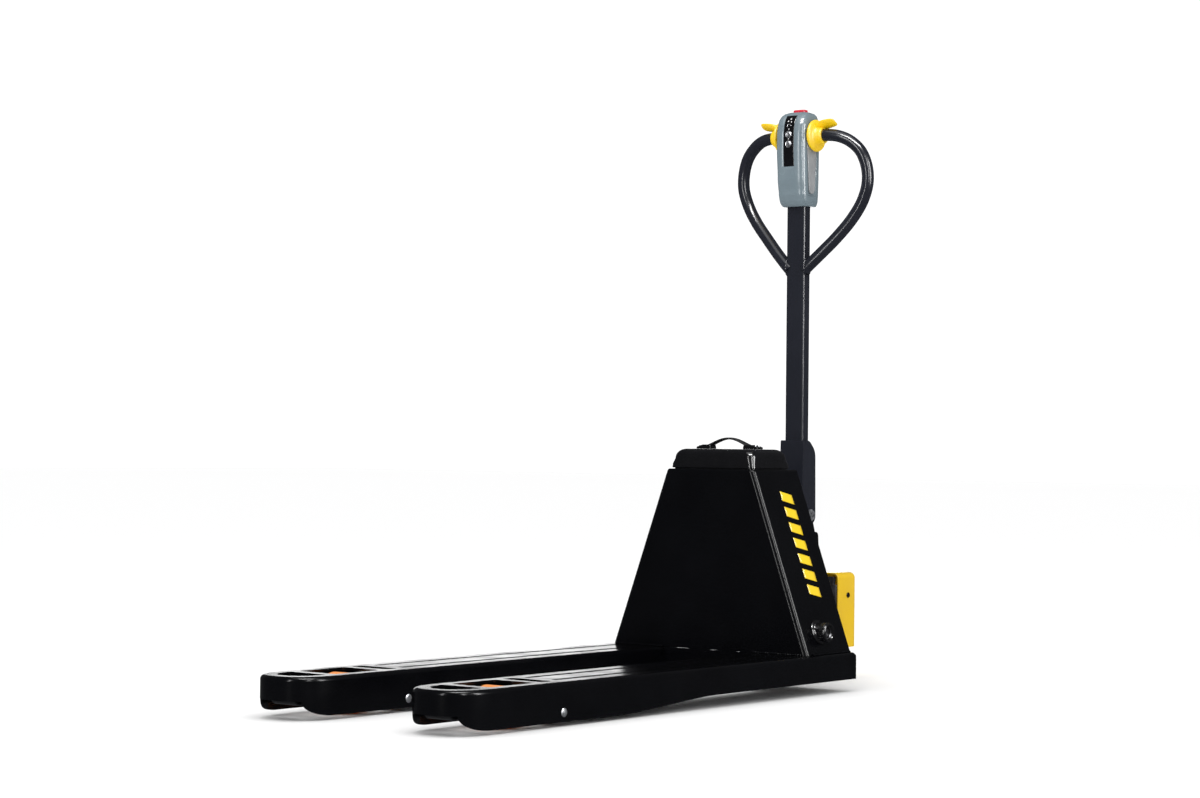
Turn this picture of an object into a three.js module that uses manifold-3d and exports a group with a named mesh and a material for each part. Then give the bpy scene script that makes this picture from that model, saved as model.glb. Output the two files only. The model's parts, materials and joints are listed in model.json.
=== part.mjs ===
// Electric pallet truck: two-fork lifting chassis, battery tower, steered drive unit and tiller.
// Millimetres, +Z up, +X towards the fork tips, +Y to the truck's left.
// Inside the design group x = 0 is the fork face; the group is shifted so that the
// origin of the part is the bottom centre of its bounding box.
import * as THREE from "three";
import { mergeVertices } from "three/addons/utils/BufferGeometryUtils.js";
import { ConvexGeometry } from "three/addons/geometries/ConvexGeometry.js";
import Module from "manifold-3d";

const wasm = await Module();
wasm.setup();

// ---------------------------------------------------------------- driving dimensions
const GAP = 0.3; // between touching pieces
const FORK_LENGTH = 1150; // fork face to tip
const FORK_WIDTH = 160;
const OVERALL_WIDTH = 560; // over the forks
const FORK_TOP = 85; // lowered fork height
const FORK_Y = (OVERALL_WIDTH - FORK_WIDTH) / 2;
const SHEET = 5; // pressed fork steel
const SEAT_FRONT = 4; // the tower stands on a shallow seat that ends just ahead of its face
const REAR_X = -174; // rear end of the chassis
const HOOD_REAR_X = -436; // rearmost point of the truck
const ORIGIN_SHIFT = -(FORK_LENGTH + HOOD_REAR_X) / 2;

const SKIRT_Z = 9; // bottom of the fork sides near the load wheels
const REAR_SKIRT_Z = 27; // bottom of the fork sides under the tower
const NOSE_Z = 38; // bottom of the fork nose
const NOSE_START = 1035;
const NOSE_BLUNT = 0.78; // below 1 the nose is blunter than an ellipse
const NOTCH_X = 1126;

const ARM_PIVOT = [848, 27]; // load arm pivot, x and z
const LOAD_WHEEL_R = 40;
const LOAD_AXLE = [950, LOAD_WHEEL_R];
const CRANK = 30; // crank radius shared by load arms and rocker
const ROCKER = [-130, 40]; // rocker shaft axis, x and z
const PIN_R = 10;
const ROD_SIDE = 12; // push rods run beside the cranks, this far from the fork centre

const TOWER_DEPTH = 170;
const TOWER_BASE_HALF = 267;
const TOWER_TOP_HALF = 120;
const TOWER_TOP = 485;
const TOWER_SHEET = 4;
const TOWER_BEND = 12; // bend radius at the front corners
const TRAY_Z = 275;

const STEER_X = -290; // steering axis and drive wheel centre
const DRIVE_R = 105;
const DRIVE_WIDTH = 70;
const BRIDGE_Z = 254;
const BRIDGE_T = 12;
const SHELF_Z = 68.3; // underside of the shelf that the rocker rollers press on

const TILT = [-354, 378]; // tiller tilt pivot, x and z
const TILLER_X = -346; // tiller tube centre
const TUBE_HALF = [12.5, 25]; // tiller tube half sizes in x and y
const GRIP_X = -346; // throttle axis
const GRIP_Z = 1256;
const LOOP_R = 14;

// ---------------------------------------------------------------- solids
const up = new THREE.Vector3(0, 1, 0);

function solid(geometry) {
  const bare = new THREE.BufferGeometry();
  bare.setAttribute("position", geometry.getAttribute("position"));
  if (geometry.index) bare.setIndex(geometry.index);
  const merged = mergeVertices(bare, 1e-3);
  return new wasm.Manifold(
    new wasm.Mesh({
      numProp: 3,
      vertProperties: new Float32Array(merged.attributes.position.array),
      triVerts: new Uint32Array(merged.index.array),
    }),
  );
}

function geometryOf(manifold) {
  const mesh = manifold.getMesh();
  const geometry = new THREE.BufferGeometry();
  geometry.setAttribute("position", new THREE.BufferAttribute(new Float32Array(mesh.vertProperties), 3));
  geometry.setIndex(new THREE.BufferAttribute(new Uint32Array(mesh.triVerts), 1));
  const flat = geometry.toNonIndexed();
  flat.computeVertexNormals();
  return flat;
}

const join = (...parts) => parts.reduce((a, b) => a.add(b));
const cut = (first, ...rest) => rest.reduce((a, b) => a.subtract(b), first);

function box(x0, x1, y0, y1, z0, z1) {
  const g = new THREE.BoxGeometry(x1 - x0, y1 - y0, z1 - z0);
  return solid(g.translate((x0 + x1) / 2, (y0 + y1) / 2, (z0 + z1) / 2));
}

// A straight round bar from a to b.
function bar(a, b, radius, segments = 16, endRadius = radius) {
  const from = new THREE.Vector3(...a);
  const to = new THREE.Vector3(...b);
  const g = new THREE.CylinderGeometry(endRadius, radius, from.distanceTo(to), segments);
  const turn = new THREE.Quaternion().setFromUnitVectors(up, to.clone().sub(from).normalize());
  g.applyQuaternion(turn);
  return solid(g.translate(...from.add(to).multiplyScalar(0.5).toArray()));
}

const barY = (x, z, y0, y1, r, segments) => bar([x, y0, z], [x, y1, z], r, segments);
const barZ = (x, y, z0, z1, r, segments) => bar([x, y, z0], [x, y, z1], r, segments);

// Extrusions: a shape in (x, z) along Y, in (y, z) along X, or in (x, y) along Z.
function extrude(shape, depth, curveSegments = 3) {
  return new THREE.ExtrudeGeometry(shape, { depth, bevelEnabled: false, curveSegments });
}
const alongY = (shape, y0, y1, cs) => solid(extrude(shape, y1 - y0, cs).rotateX(Math.PI / 2).translate(0, y1, 0));
const alongZ = (shape, z0, z1, cs) => solid(extrude(shape, z1 - z0, cs).translate(0, 0, z0));
function alongX(shape, x0, x1, cs) {
  const turn = new THREE.Matrix4().makeBasis(
    new THREE.Vector3(0, 1, 0),
    new THREE.Vector3(0, 0, 1),
    new THREE.Vector3(1, 0, 0),
  );
  return solid(extrude(shape, x1 - x0, cs).applyMatrix4(turn).translate(x0, 0, 0));
}

// A closed polygon whose corners are rounded; a point is [a, b] or [a, b, radius].
function rounded(points, radius = 0) {
  const shape = new THREE.Shape();
  const corner = points.map(([a, b, r = radius], i) => {
    const here = new THREE.Vector2(a, b);
    const before = new THREE.Vector2(...points.at(i - 1).slice(0, 2)).sub(here);
    const after = new THREE.Vector2(...points[(i + 1) % points.length].slice(0, 2)).sub(here);
    const reach = Math.min(r, before.length() * 0.49, after.length() * 0.49);
    return {
      here,
      start: here.clone().add(before.normalize().multiplyScalar(reach)),
      end: here.clone().add(after.normalize().multiplyScalar(reach)),
      reach,
    };
  });
  corner.forEach(({ here, start, end, reach }, i) => {
    if (i === 0) shape.moveTo(start.x, start.y);
    else shape.lineTo(start.x, start.y);
    if (reach > 0) shape.quadraticCurveTo(here.x, here.y, end.x, end.y);
  });
  shape.closePath();
  return shape;
}

const rectangle = (a0, a1, b0, b1, r = 0) =>
  rounded([[a0, b0], [a1, b0], [a1, b1], [a0, b1]], r);

// A ring-shaped or solid turned piece about an axis along Y; the profile is [radius, y] points.
function turnedY(profile, x, z, segments = 24) {
  const points = profile.map(([r, y]) => new THREE.Vector2(r, y));
  return solid(new THREE.LatheGeometry(points, segments).translate(x, 0, z));
}

function ringY(x, z, y0, y1, inner, outer, segments = 20) {
  const profile = [[inner, y0], [outer, y0], [outer, y1], [inner, y1], [inner, y0]];
  return turnedY(profile, x, z, segments);
}

function ringZ(x, y, z0, z1, inner, outer, segments = 24) {
  return cut(barZ(x, y, z0, z1, outer, segments), barZ(x, y, z0 - 1, z1 + 1, inner, segments));
}

// The convex solid round a stack of rounded rectangles: {z, x0, x1, half, r}.
function stacked(levels, arcPoints = 4) {
  const points = [];
  for (const { z, x0, x1, half, r } of levels) {
    for (const [sx, sy, start] of [[1, 1, 0], [-1, 1, 1], [-1, -1, 2], [1, -1, 3]]) {
      const cx = sx > 0 ? x1 - r : x0 + r;
      const cy = sy * (half - r);
      for (let i = 0; i < arcPoints; i++) {
        const angle = (start + i / (arcPoints - 1)) * (Math.PI / 2);
        points.push(new THREE.Vector3(cx + r * Math.cos(angle), cy + r * Math.sin(angle), z));
      }
    }
  }
  return solid(new ConvexGeometry(points));
}

// ---------------------------------------------------------------- materials and nodes
const finish = (color, roughness, metalness = 0) => () =>
  new THREE.MeshStandardMaterial({ color, roughness, metalness });

const blackPaint = finish(0x101114, 0.3);
const tillerPaint = finish(0x1b1c22, 0.35);
const yellowPaint = finish(0xe8c400, 0.4);
const yellowPlastic = finish(0xffd400, 0.45);
const greyPlastic = finish(0x6f7c86, 0.4);
const darkPlastic = finish(0x0b0b0d, 0.5);
const glossBlack = finish(0x050507, 0.1);
const redPlastic = finish(0xc8102e, 0.4);
const orangeUrethane = finish(0xf08a34, 0.45);
const blackRubber = finish(0x17171a, 0.8);
const zinc = finish(0xb9bcc0, 0.35, 0.9);
const castSteel = finish(0x4a4c50, 0.6, 0.6);
const aluminium = finish(0x9fa3a8, 0.45, 0.8);

const truck = new THREE.Group();
truck.position.x = ORIGIN_SHIFT;

function node(name, manifold, material) {
  const mesh = new THREE.Mesh(geometryOf(manifold), material());
  mesh.name = name;
  truck.add(mesh);
}

const SIDES = [["left", 1], ["right", -1]];

// ---------------------------------------------------------------- chassis
// Plan outline of a fork about its own centre line; inset moves every wall inwards.
function forkPlan(inset, rear) {
  const half = FORK_WIDTH / 2 - inset;
  const nose = FORK_LENGTH - NOSE_START - inset;
  const shape = new THREE.Shape();
  shape.moveTo(rear, -half);
  const steps = 9;
  for (let i = -steps; i <= steps; i++) {
    const angle = (i / steps) * (Math.PI / 2);
    const ahead = Math.max(Math.cos(angle), 0) ** NOSE_BLUNT;
    const aside = Math.sign(angle) * Math.abs(Math.sin(angle)) ** NOSE_BLUNT;
    shape.lineTo(NOSE_START + nose * ahead, half * aside);
  }
  shape.lineTo(rear, half);
  shape.closePath();
  return shape;
}

function forkSideProfile() {
  const shape = new THREE.Shape();
  const corner = 10;
  shape.moveTo(REAR_X, FORK_TOP - corner);
  shape.lineTo(REAR_X, REAR_SKIRT_Z + corner);
  shape.quadraticCurveTo(REAR_X, REAR_SKIRT_Z, REAR_X + corner, REAR_SKIRT_Z);
  shape.lineTo(330, REAR_SKIRT_Z);
  shape.quadraticCurveTo(370, REAR_SKIRT_Z, 410, REAR_SKIRT_Z - 2);
  shape.lineTo(610, SKIRT_Z + 2);
  shape.quadraticCurveTo(650, SKIRT_Z, 690, SKIRT_Z);
  shape.lineTo(1070, SKIRT_Z);
  shape.bezierCurveTo(1100, SKIRT_Z, NOTCH_X - 4, 18, NOTCH_X, NOSE_Z);
  shape.lineTo(FORK_LENGTH + 1, NOSE_Z);
  shape.lineTo(FORK_LENGTH + 1, FORK_TOP);
  shape.lineTo(REAR_X + corner, FORK_TOP);
  shape.quadraticCurveTo(REAR_X, FORK_TOP, REAR_X, FORK_TOP - corner);
  return shape;
}

const OPENING_HALF = 50;
const OPENINGS = [
  // tip opening, which follows the nose
  rounded([[1052, -50], [1092, -42], [1121, -20], [1121, 20], [1092, 42], [1052, 50]], 9),
  rectangle(902, 1030, -OPENING_HALF, OPENING_HALF, 8),
  rectangle(848, 880, -OPENING_HALF, OPENING_HALF, 8),
];

function fork() {
  const outer = alongZ(forkPlan(0, REAR_X), 0, FORK_TOP).intersect(
    alongY(forkSideProfile(), -FORK_WIDTH, FORK_WIDTH),
  );
  const cavity = alongZ(forkPlan(SHEET, REAR_X + SHEET), -1, FORK_TOP - SHEET);
  const holes = OPENINGS.map((shape) => alongZ(shape, FORK_TOP - SHEET - 1, FORK_TOP + 1));
  const pinHole = barY(...ARM_PIVOT, -FORK_WIDTH, FORK_WIDTH, PIN_R + GAP);
  const stiffener = box(1036, 1042, -FORK_WIDTH / 2 + 1, FORK_WIDTH / 2 - 1, 20, FORK_TOP - 1);
  const web = stiffener.intersect(outer);
  const seat = box(REAR_X - 1, SEAT_FRONT, -FORK_WIDTH, FORK_WIDTH, FORK_TOP - GAP, FORK_TOP + 1);
  return cut(join(cut(outer, cavity), web), ...holes, pinHole, seat);
}

for (const [side, s] of SIDES) {
  const y = s * FORK_Y;
  const shaftHole = barY(...ROCKER, y - s * 90, y - s * 60, 17 + GAP, 20);
  node(`fork_${side}`, cut(fork().translate([0, y, 0]), shaftHole), blackPaint);
  const half = FORK_WIDTH / 2 + 1.5;
  const pin = turnedY(
    [[0, -half], [PIN_R - 2.5, -half], [PIN_R, 1.5 - half], [PIN_R, half - 1.5], [PIN_R - 2.5, half], [0, half]],
    ...ARM_PIVOT,
    20,
  );
  node(`arm_pin_${side}`, pin.translate([0, y, 0]), zinc);
  const bush = ringY(...ROCKER, y - s * 82 - 5, y - s * 82 + 5, 13.4, 17);
  node(`rocker_bush_${side}`, bush, aluminium);
  // nose roller that climbs into a pallet
  const rollerAt = [1108, 44];
  node(`entry_pin_${side}`, barY(...rollerAt, y - 47, y + 47, 5, 16), zinc);
  const roller = turnedY(
    [[5.4, -34], [15, -34], [17, -32], [17, 32], [15, 34], [5.4, 34], [5.4, -34]],
    ...rollerAt,
    24,
  );
  node(`entry_roller_${side}`, roller.translate([0, y, 0]), darkPlastic);
}

// The skirt between the forks, with the cross tube that ties them together.
function crossMember() {
  const half = FORK_Y - FORK_WIDTH / 2 - GAP;
  const skirt = box(-SHEET, 0, -half, half, REAR_SKIRT_Z, FORK_TOP);
  const flange = box(-9, 0, -half, half, FORK_TOP - SHEET, FORK_TOP);
  const tie = box(-172, -152, -half, half, REAR_SKIRT_Z, 62);
  const webs = SIDES.map(([, s]) =>
    box(-172, 0, Math.min(s * 88, s * 94), Math.max(s * 88, s * 94), REAR_SKIRT_Z, FORK_TOP));
  const passage = barY(...ROCKER, -half, half, 18);
  return cut(join(skirt, flange, tie, ...webs), passage);
}
node("cross_member", crossMember(), blackPaint);

// Tower: one bent sheet for the front and both leaning sides, open at the rear.
const towerHalf = (z) =>
  TOWER_BASE_HALF + ((TOWER_TOP_HALF - TOWER_BASE_HALF) * (z - FORK_TOP)) / (TOWER_TOP - FORK_TOP);
const towerLevel = (z, half, x1, r) => ({ z, x0: -TOWER_DEPTH - 40, x1, half, r });
const KEY = { x: -70, z: 133 };

function towerShell() {
  const base = FORK_TOP + GAP;
  const outer = stacked([
    towerLevel(base, towerHalf(base), 0, TOWER_BEND),
    towerLevel(TOWER_TOP, TOWER_TOP_HALF, 0, TOWER_BEND),
  ], 5);
  const t = TOWER_SHEET;
  const lift = 30; // the hollow runs past both ends
  const inner = stacked([
    towerLevel(base - lift, towerHalf(base - lift) - t * 1.07, -t, TOWER_BEND - t),
    towerLevel(TOWER_TOP - t, towerHalf(TOWER_TOP - t) - t * 1.07, -t, TOWER_BEND - t),
  ], 5);
  const rearOff = box(-400, -TOWER_DEPTH, -400, 400, 0, 600);
  const mouth = alongZ(rectangle(-157, -9, -115, 115, 6), TOWER_TOP - t - 5, TOWER_TOP + 1);
  const keyHole = barY(KEY.x, KEY.z, 200, 300, 15);
  return cut(outer, inner, rearOff, mouth, keyHole);
}
node("tower_shell", towerShell(), blackPaint);

// Folded cover over the upper rear of the tower.
function rearCover() {
  const outline = (inset) =>
    rounded([
      [-towerHalf(290) + 8 + inset, 290 + inset],
      [towerHalf(290) - 8 - inset, 290 + inset],
      [towerHalf(478) - 8 - inset, 478 - inset],
      [-towerHalf(478) + 8 + inset, 478 - inset],
    ], 8);
  const plate = alongX(outline(0), -TOWER_DEPTH - 4, -TOWER_DEPTH + 6);
  const hollow = alongX(outline(3), -TOWER_DEPTH - 1, -TOWER_DEPTH + 7);
  const louvres = [0, 1, 2, 3].map((i) => {
    const z = 330 + i * 18;
    return box(-TOWER_DEPTH - 5, -TOWER_DEPTH, -60, 60, z, z + 6);
  });
  return cut(plate, hollow, ...louvres);
}
node("rear_cover", rearCover(), darkPlastic);

// Battery tray, also the plate that the lift cylinder pushes on.
function batteryTray() {
  const half = towerHalf(TRAY_Z) - 9;
  const plate = alongZ(rectangle(-160, -TOWER_SHEET - GAP, -half, half, 12), TRAY_Z, TRAY_Z + 8);
  const socket = barZ(-75, 0, TRAY_Z - 6, TRAY_Z, 24);
  const rails = SIDES.map(([, s]) =>
    box(-160, -8, Math.min(s * 113, s * 119), Math.max(s * 113, s * 119), TRAY_Z, TRAY_Z + 45));
  return join(plate, socket, ...rails);
}
node("battery_tray", batteryTray(), castSteel);

// ---------------------------------------------------------------- battery pack
const PACK_X = [-153, -13];
function batteryCase() {
  const body = alongZ(rectangle(...PACK_X, -110, 110, 10), TRAY_Z + 8 + GAP, TOWER_TOP + 1);
  const cap = stacked([
    { z: TOWER_TOP + GAP, x0: -156, x1: -8, half: 114, r: 14 },
    { z: 508, x0: -152, x1: -10, half: 106, r: 14 },
    { z: 520, x0: -145, x1: -14, half: 101, r: 16 },
    { z: 527, x0: -137, x1: -22, half: 94, r: 16 },
    { z: 530, x0: -128, x1: -31, half: 85, r: 14 },
  ], 6);
  return join(body, cap);
}
node("battery_pack", batteryCase(), darkPlastic);

// Flexible carrying strap with a plate at each end.
const STRAP_X = -78;
function strap() {
  const span = 52;
  const rise = 19;
  const base = 530 + GAP;
  const points = [];
  const steps = 14;
  for (let i = 0; i <= steps; i++) {
    const y = -span + (2 * span * i) / steps;
    points.push([y, base + 7 + rise * Math.cos((y / span) * (Math.PI / 2)) ** 1.2]);
  }
  const arch = new THREE.Shape();
  points.forEach(([y, z], i) => (i ? arch.lineTo(y, z) : arch.moveTo(y, z)));
  [...points].reverse().forEach(([y, z]) => arch.lineTo(y, z - 5.5));
  arch.closePath();
  const foot = rounded([[46, base], [84, base], [82, base + 5], [64, base + 8], [46, base + 8]]);
  const footPlate = alongX(foot, STRAP_X - 12, STRAP_X + 12);
  const feet = [footPlate, footPlate.mirror([0, 1, 0])];
  return join(alongX(arch, STRAP_X - 10, STRAP_X + 10), ...feet);
}
node("battery_strap", strap(), blackRubber);

// ---------------------------------------------------------------- key switch on the left side
function keyHousing() {
  const lean = Math.atan2(TOWER_BASE_HALF - TOWER_TOP_HALF, TOWER_TOP - FORK_TOP);
  const wall = towerHalf(KEY.z);
  const flange = solid(
    new THREE.CylinderGeometry(24, 28, 5, 24).translate(0, 2.5, 0).rotateX(lean),
  ).translate([KEY.x, wall + GAP, KEY.z]);
  const collar = barY(KEY.x, KEY.z, wall - 12, 278, 21, 24);
  const outside = solid(
    new THREE.BoxGeometry(200, 200, 200).translate(0, 100, 0).rotateX(lean),
  ).translate([KEY.x, wall + GAP, KEY.z]);
  const stem = barY(KEY.x, KEY.z, wall - 26, 262, 14.5, 20);
  const lead = bar([KEY.x, 278.5, KEY.z], [KEY.x, 269, KEY.z], 18, 20, 13.4);
  const seat = barY(KEY.x, KEY.z, 246, 280, 11.3, 20);
  return cut(join(join(flange, collar).intersect(outside), stem), lead, seat);
}
node("key_switch_housing", keyHousing(), darkPlastic);
node(
  "key_switch_barrel",
  cut(barY(KEY.x, KEY.z, 246.5, 271, 11, 20), box(KEY.x - 1.2, KEY.x + 1.2, 266, 272, KEY.z - 5, KEY.z + 5)),
  zinc,
);

// ---------------------------------------------------------------- hydraulics and electrics in the tower
const CYLINDER_X = -75;
const SHELF_TOP = SHELF_Z + 11.7;
node(
  "lift_cylinder",
  cut(
    join(
      barZ(CYLINDER_X, 0, SHELF_TOP + GAP, BRIDGE_Z - 1, 23, 24),
      barZ(CYLINDER_X, 0, BRIDGE_Z - 20, BRIDGE_Z - 1, 27, 24),
      bar([CYLINDER_X, 0, 105], [CYLINDER_X, -34, 105], 7, 16),
    ),
    barZ(CYLINDER_X, 0, SHELF_TOP + 12, BRIDGE_Z + 1, 14.4, 20),
  ),
  castSteel,
);
node("lift_piston_rod", barZ(CYLINDER_X, 0, 100, TRAY_Z - 6 - GAP, 14, 20), zinc);

// Pump motor, valve block and oil tank in a row.
node(
  "hydraulic_power_pack",
  join(
    bar([-148, -150, 190], [-96, -150, 190], 36, 24),
    box(-97, -66, -184, -116, 156, 224),
    alongX(rectangle(-188, -112, 148, 232, 10), -67, -14),
    box(-62, -20, -172, -128, FORK_TOP + GAP, 150),
  ),
  aluminium,
);
node(
  "motor_controller",
  join(
    box(-150, -20, 96, 104, 110, 250),
    ...[0, 1, 2, 3, 4, 5].map((i) => box(-150, -20, 82, 97, 116 + i * 24, 121 + i * 24)),
    box(-140, -30, 103, 150, 120, 240),
    box(-130, -40, 124, 146, FORK_TOP + GAP, 121),
  ),
  aluminium,
);

// ---------------------------------------------------------------- lift linkage
const armPlate = (y0, y1) => {
  const [px, pz] = ARM_PIVOT;
  const [ax, az] = LOAD_AXLE;
  return alongY(
    rounded([
      [px - 17, pz - 8], [px - 4, pz - 15], [ax + 6, az - 15], [ax + 16, az - 4],
      [ax + 16, az + 6], [ax + 4, az + 15], [px, pz + 17], [px - 17, pz + 8],
    ], 6),
    y0,
    y1,
    3,
  );
};

function loadArm() {
  const [px, pz] = ARM_PIVOT;
  const tube = barY(px, pz, -46, 46, 15);
  const ear = alongY(
    rounded([[px - 11, pz], [px + 11, pz], [px + 9, pz + CRANK + 8], [px - 9, pz + CRANK + 8]], 6),
    -5, 5, 3,
  );
  const rodPin = barY(px, pz + CRANK, 0, ROD_SIDE + 8, 6);
  const bore = barY(px, pz, -60, 60, PIN_R + GAP);
  const axleBore = barY(...LOAD_AXLE, -60, 60, 8 + GAP);
  return cut(join(tube, ear, rodPin, armPlate(-46, -40), armPlate(40, 46)), bore, axleBore);
}

// Push rod between crank pins at the rocker and at the load arm.
function pushRod() {
  const rear = [ROCKER[0], ROCKER[1] + CRANK];
  const front = [ARM_PIVOT[0], ARM_PIVOT[1] + CRANK];
  const y0 = 5 + 1;
  const y1 = ROD_SIDE + 7;
  const eyes = [rear, front].map(([x, z]) => barY(x, z, y0, y1, 9.5));
  // the web stays above the front eye, so that it clears the arm's tube when the forks are up
  const low = front[1] + 5.5;
  const high = front[1] + 17.5;
  const web = alongY(
    rounded([
      [rear[0], rear[1] - 7], [front[0] - 60, low], [front[0] + 7, low], [front[0] + 7, high],
      [front[0] - 60, high], [rear[0], rear[1] + 7],
    ]),
    y0 + 1,
    y1 - 1,
  );
  const bores = [rear, front].map(([x, z]) => barY(x, z, 0, 30, 6 + GAP));
  return cut(join(...eyes, web), ...bores);
}

for (const [side, s] of SIDES) {
  const at = [0, s * FORK_Y, 0];
  node(`load_arm_${side}`, loadArm().translate(at), castSteel);
  node(`push_rod_${side}`, pushRod().translate(at), zinc);
  node(`load_axle_${side}`, barY(...LOAD_AXLE, -47.5, 47.5, 8).translate(at), zinc);
  node(`load_hub_${side}`, ringY(...LOAD_AXLE, -36, 36, 8 + GAP, 28, 24).translate(at), castSteel);
  const tyre = turnedY(
    [[28 + GAP, -35], [37, -35], [LOAD_WHEEL_R, -32], [LOAD_WHEEL_R, 32], [37, 35], [28 + GAP, 35], [28 + GAP, -35]],
    ...LOAD_AXLE,
    48,
  );
  node(`load_tyre_${side}`, tyre.translate(at), orangeUrethane);
}

// Rocker: cross shaft, a crank in each fork and two forward arms that carry rollers.
const ARM_REACH = [LOAD_AXLE[0] - ARM_PIVOT[0], LOAD_AXLE[1] - ARM_PIVOT[1]];
const ROLLER_AT = [ROCKER[0] + ARM_REACH[0], ROCKER[1] + ARM_REACH[1]];
function rocker() {
  const [x, z] = ROCKER;
  const shaft = barY(x, z, -FORK_Y - 14, FORK_Y + 14, 13, 20);
  const cranks = SIDES.map(([, s]) =>
    join(
      alongY(rounded([[x - 13, z], [x + 13, z], [x + 9, z + CRANK + 8], [x - 9, z + CRANK + 8]], 6),
        s * FORK_Y - 5, s * FORK_Y + 5, 3),
      barY(x, z + CRANK, s * FORK_Y, s * FORK_Y + ROD_SIDE + 8, 6),
    ));
  const arms = SIDES.map(([, s]) => {
    const inner = Math.min(s * 38, s * 50);
    const [rx, rz] = ROLLER_AT;
    return join(
      alongY(rounded([[x - 16, z - 6], [x, z - 15], [rx + 8, rz - 9], [rx + 8, rz + 8], [x, z + 15], [x - 16, z + 8]], 5),
        inner, inner + 12, 3),
      barY(rx, rz, Math.min(s * 40, s * 68), Math.max(s * 40, s * 68), 6),
    );
  });
  return join(shaft, ...cranks, ...arms);
}
node("rocker", rocker(), castSteel);
for (const [side, s] of SIDES) {
  const roller = ringY(...ROLLER_AT, Math.min(s * 53, s * 66), Math.max(s * 53, s * 66), 6 + GAP, 14.7, 20);
  node(`rocker_roller_${side}`, roller, zinc);
}

// ---------------------------------------------------------------- drive frame
function driveFrame() {
  const bridge = alongZ(
    rounded([[-345, -45, 30], [-345, 45, 30], [-235, 70], [-30, 70], [-30, -70], [-235, -70]], 6),
    BRIDGE_Z,
    BRIDGE_Z + BRIDGE_T,
  );
  const bearingSeat = barZ(STEER_X, 0, BRIDGE_Z - 1, BRIDGE_Z + BRIDGE_T, 48, 28);
  const shelf = box(-108, -10, -75, 75, SHELF_Z, SHELF_TOP);
  const cheeks = SIDES.map(([, s]) =>
    box(-104, -32, Math.min(s * 67, s * 75), Math.max(s * 67, s * 75), SHELF_Z, BRIDGE_Z + BRIDGE_T));
  const slots = SIDES.map(([, s]) =>
    box(-120, -26, Math.min(s * 33, s * 52), Math.max(s * 33, s * 52), SHELF_Z - 1, SHELF_TOP + 1));
  const bore = barZ(STEER_X, 0, BRIDGE_Z - 5, 300, 34 + GAP, 24);
  const rodHole = barZ(CYLINDER_X, 0, BRIDGE_Z - 5, 300, 16, 20);
  return cut(join(bridge, bearingSeat, shelf, ...cheeks), ...slots, bore, rodHole);
}
node("drive_frame", driveFrame(), castSteel);
node("steering_bearing", ringZ(STEER_X, 0, BRIDGE_Z - 1, BRIDGE_Z + BRIDGE_T + 1, 24 + GAP, 34, 24), zinc);

// ---------------------------------------------------------------- steered drive unit
const ARM_Y = [41, 53];
const yokeArm = (s) =>
  alongY(
    rounded([
      [STEER_X - 42, 232], [STEER_X + 42, 232], [STEER_X + 42, 190], [STEER_X + 22, 90],
      [STEER_X - 22, 90], [STEER_X - 42, 190],
    ], 14),
    Math.min(s * ARM_Y[0], s * ARM_Y[1]),
    Math.max(s * ARM_Y[0], s * ARM_Y[1]),
    4,
  );

function yoke() {
  const crown = barZ(STEER_X, 0, 222, 246, 62, 28);
  const column = barZ(STEER_X, 0, 230, 268, 24, 20);
  const rib = box(-362, STEER_X, -50, 50, 222, 238);
  const cross = box(-362, -352, -100, 100, 196, 238);
  const tabs = SIDES.map(([, s]) =>
    box(-415, -352, Math.min(s * 100, s * 106.4), Math.max(s * 100, s * 106.4), 170, 220));
  const axle = barY(STEER_X, DRIVE_R, -60, 60, 12 + GAP, 20);
  const screws = barY(-400, 195, -120, 120, 3.5, 12);
  return cut(join(crown, column, rib, cross, ...tabs, yokeArm(1), yokeArm(-1)), axle, screws);
}
node("drive_yoke", yoke(), castSteel);

const tyreHalf = DRIVE_WIDTH / 2;
node(
  "drive_tyre",
  turnedY(
    [[88 + GAP, -tyreHalf], [100, -tyreHalf], [DRIVE_R, 4 - tyreHalf], [DRIVE_R, tyreHalf - 4],
      [100, tyreHalf], [88 + GAP, tyreHalf], [88 + GAP, -tyreHalf]],
    STEER_X,
    DRIVE_R,
    48,
  ),
  blackRubber,
);
node(
  "drive_hub_motor",
  turnedY(
    [[12 + GAP, -38], [34, -38], [40, -34], [80, -32], [88, -28], [88, 28], [80, 32], [40, 34], [34, 38],
      [12 + GAP, 38], [12 + GAP, -38]],
    STEER_X,
    DRIVE_R,
    32,
  ),
  aluminium,
);
node(
  "drive_axle",
  join(
    barY(STEER_X, DRIVE_R, -64, 64, 12, 20),
    barY(STEER_X, DRIVE_R, 53 + GAP, 64, 19, 6),
    barY(STEER_X, DRIVE_R, -64, -53 - GAP, 19, 6),
  ),
  zinc,
);

// Folded sheet hood behind the wheel, open at the front and below.
const HOOD = { front: -358, half: 110, bottom: 75, top: 247, t: 3 };
function hood() {
  const section = (inset) =>
    rounded([
      [-HOOD.half + inset, HOOD.bottom - inset, 0],
      [HOOD.half - inset, HOOD.bottom - inset, 0],
      [HOOD.half - inset, HOOD.top - inset, 14 - inset],
      [-HOOD.half + inset, HOOD.top - inset, 14 - inset],
    ]);
  const outer = alongX(section(0), HOOD_REAR_X, HOOD.front);
  const rounder = alongZ(
    rounded([
      [HOOD.front + 1, -HOOD.half, 0], [HOOD.front + 1, HOOD.half, 0],
      [HOOD_REAR_X, HOOD.half, 12], [HOOD_REAR_X, -HOOD.half, 12],
    ]),
    0, 300,
  );
  const inner = alongX(section(HOOD.t), HOOD_REAR_X + HOOD.t, HOOD.front + 1);
  const holes = barY(-400, 195, -120, 120, 4, 16);
  return cut(outer.intersect(rounder), inner, holes);
}
node("drive_hood", hood(), yellowPaint);
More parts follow.
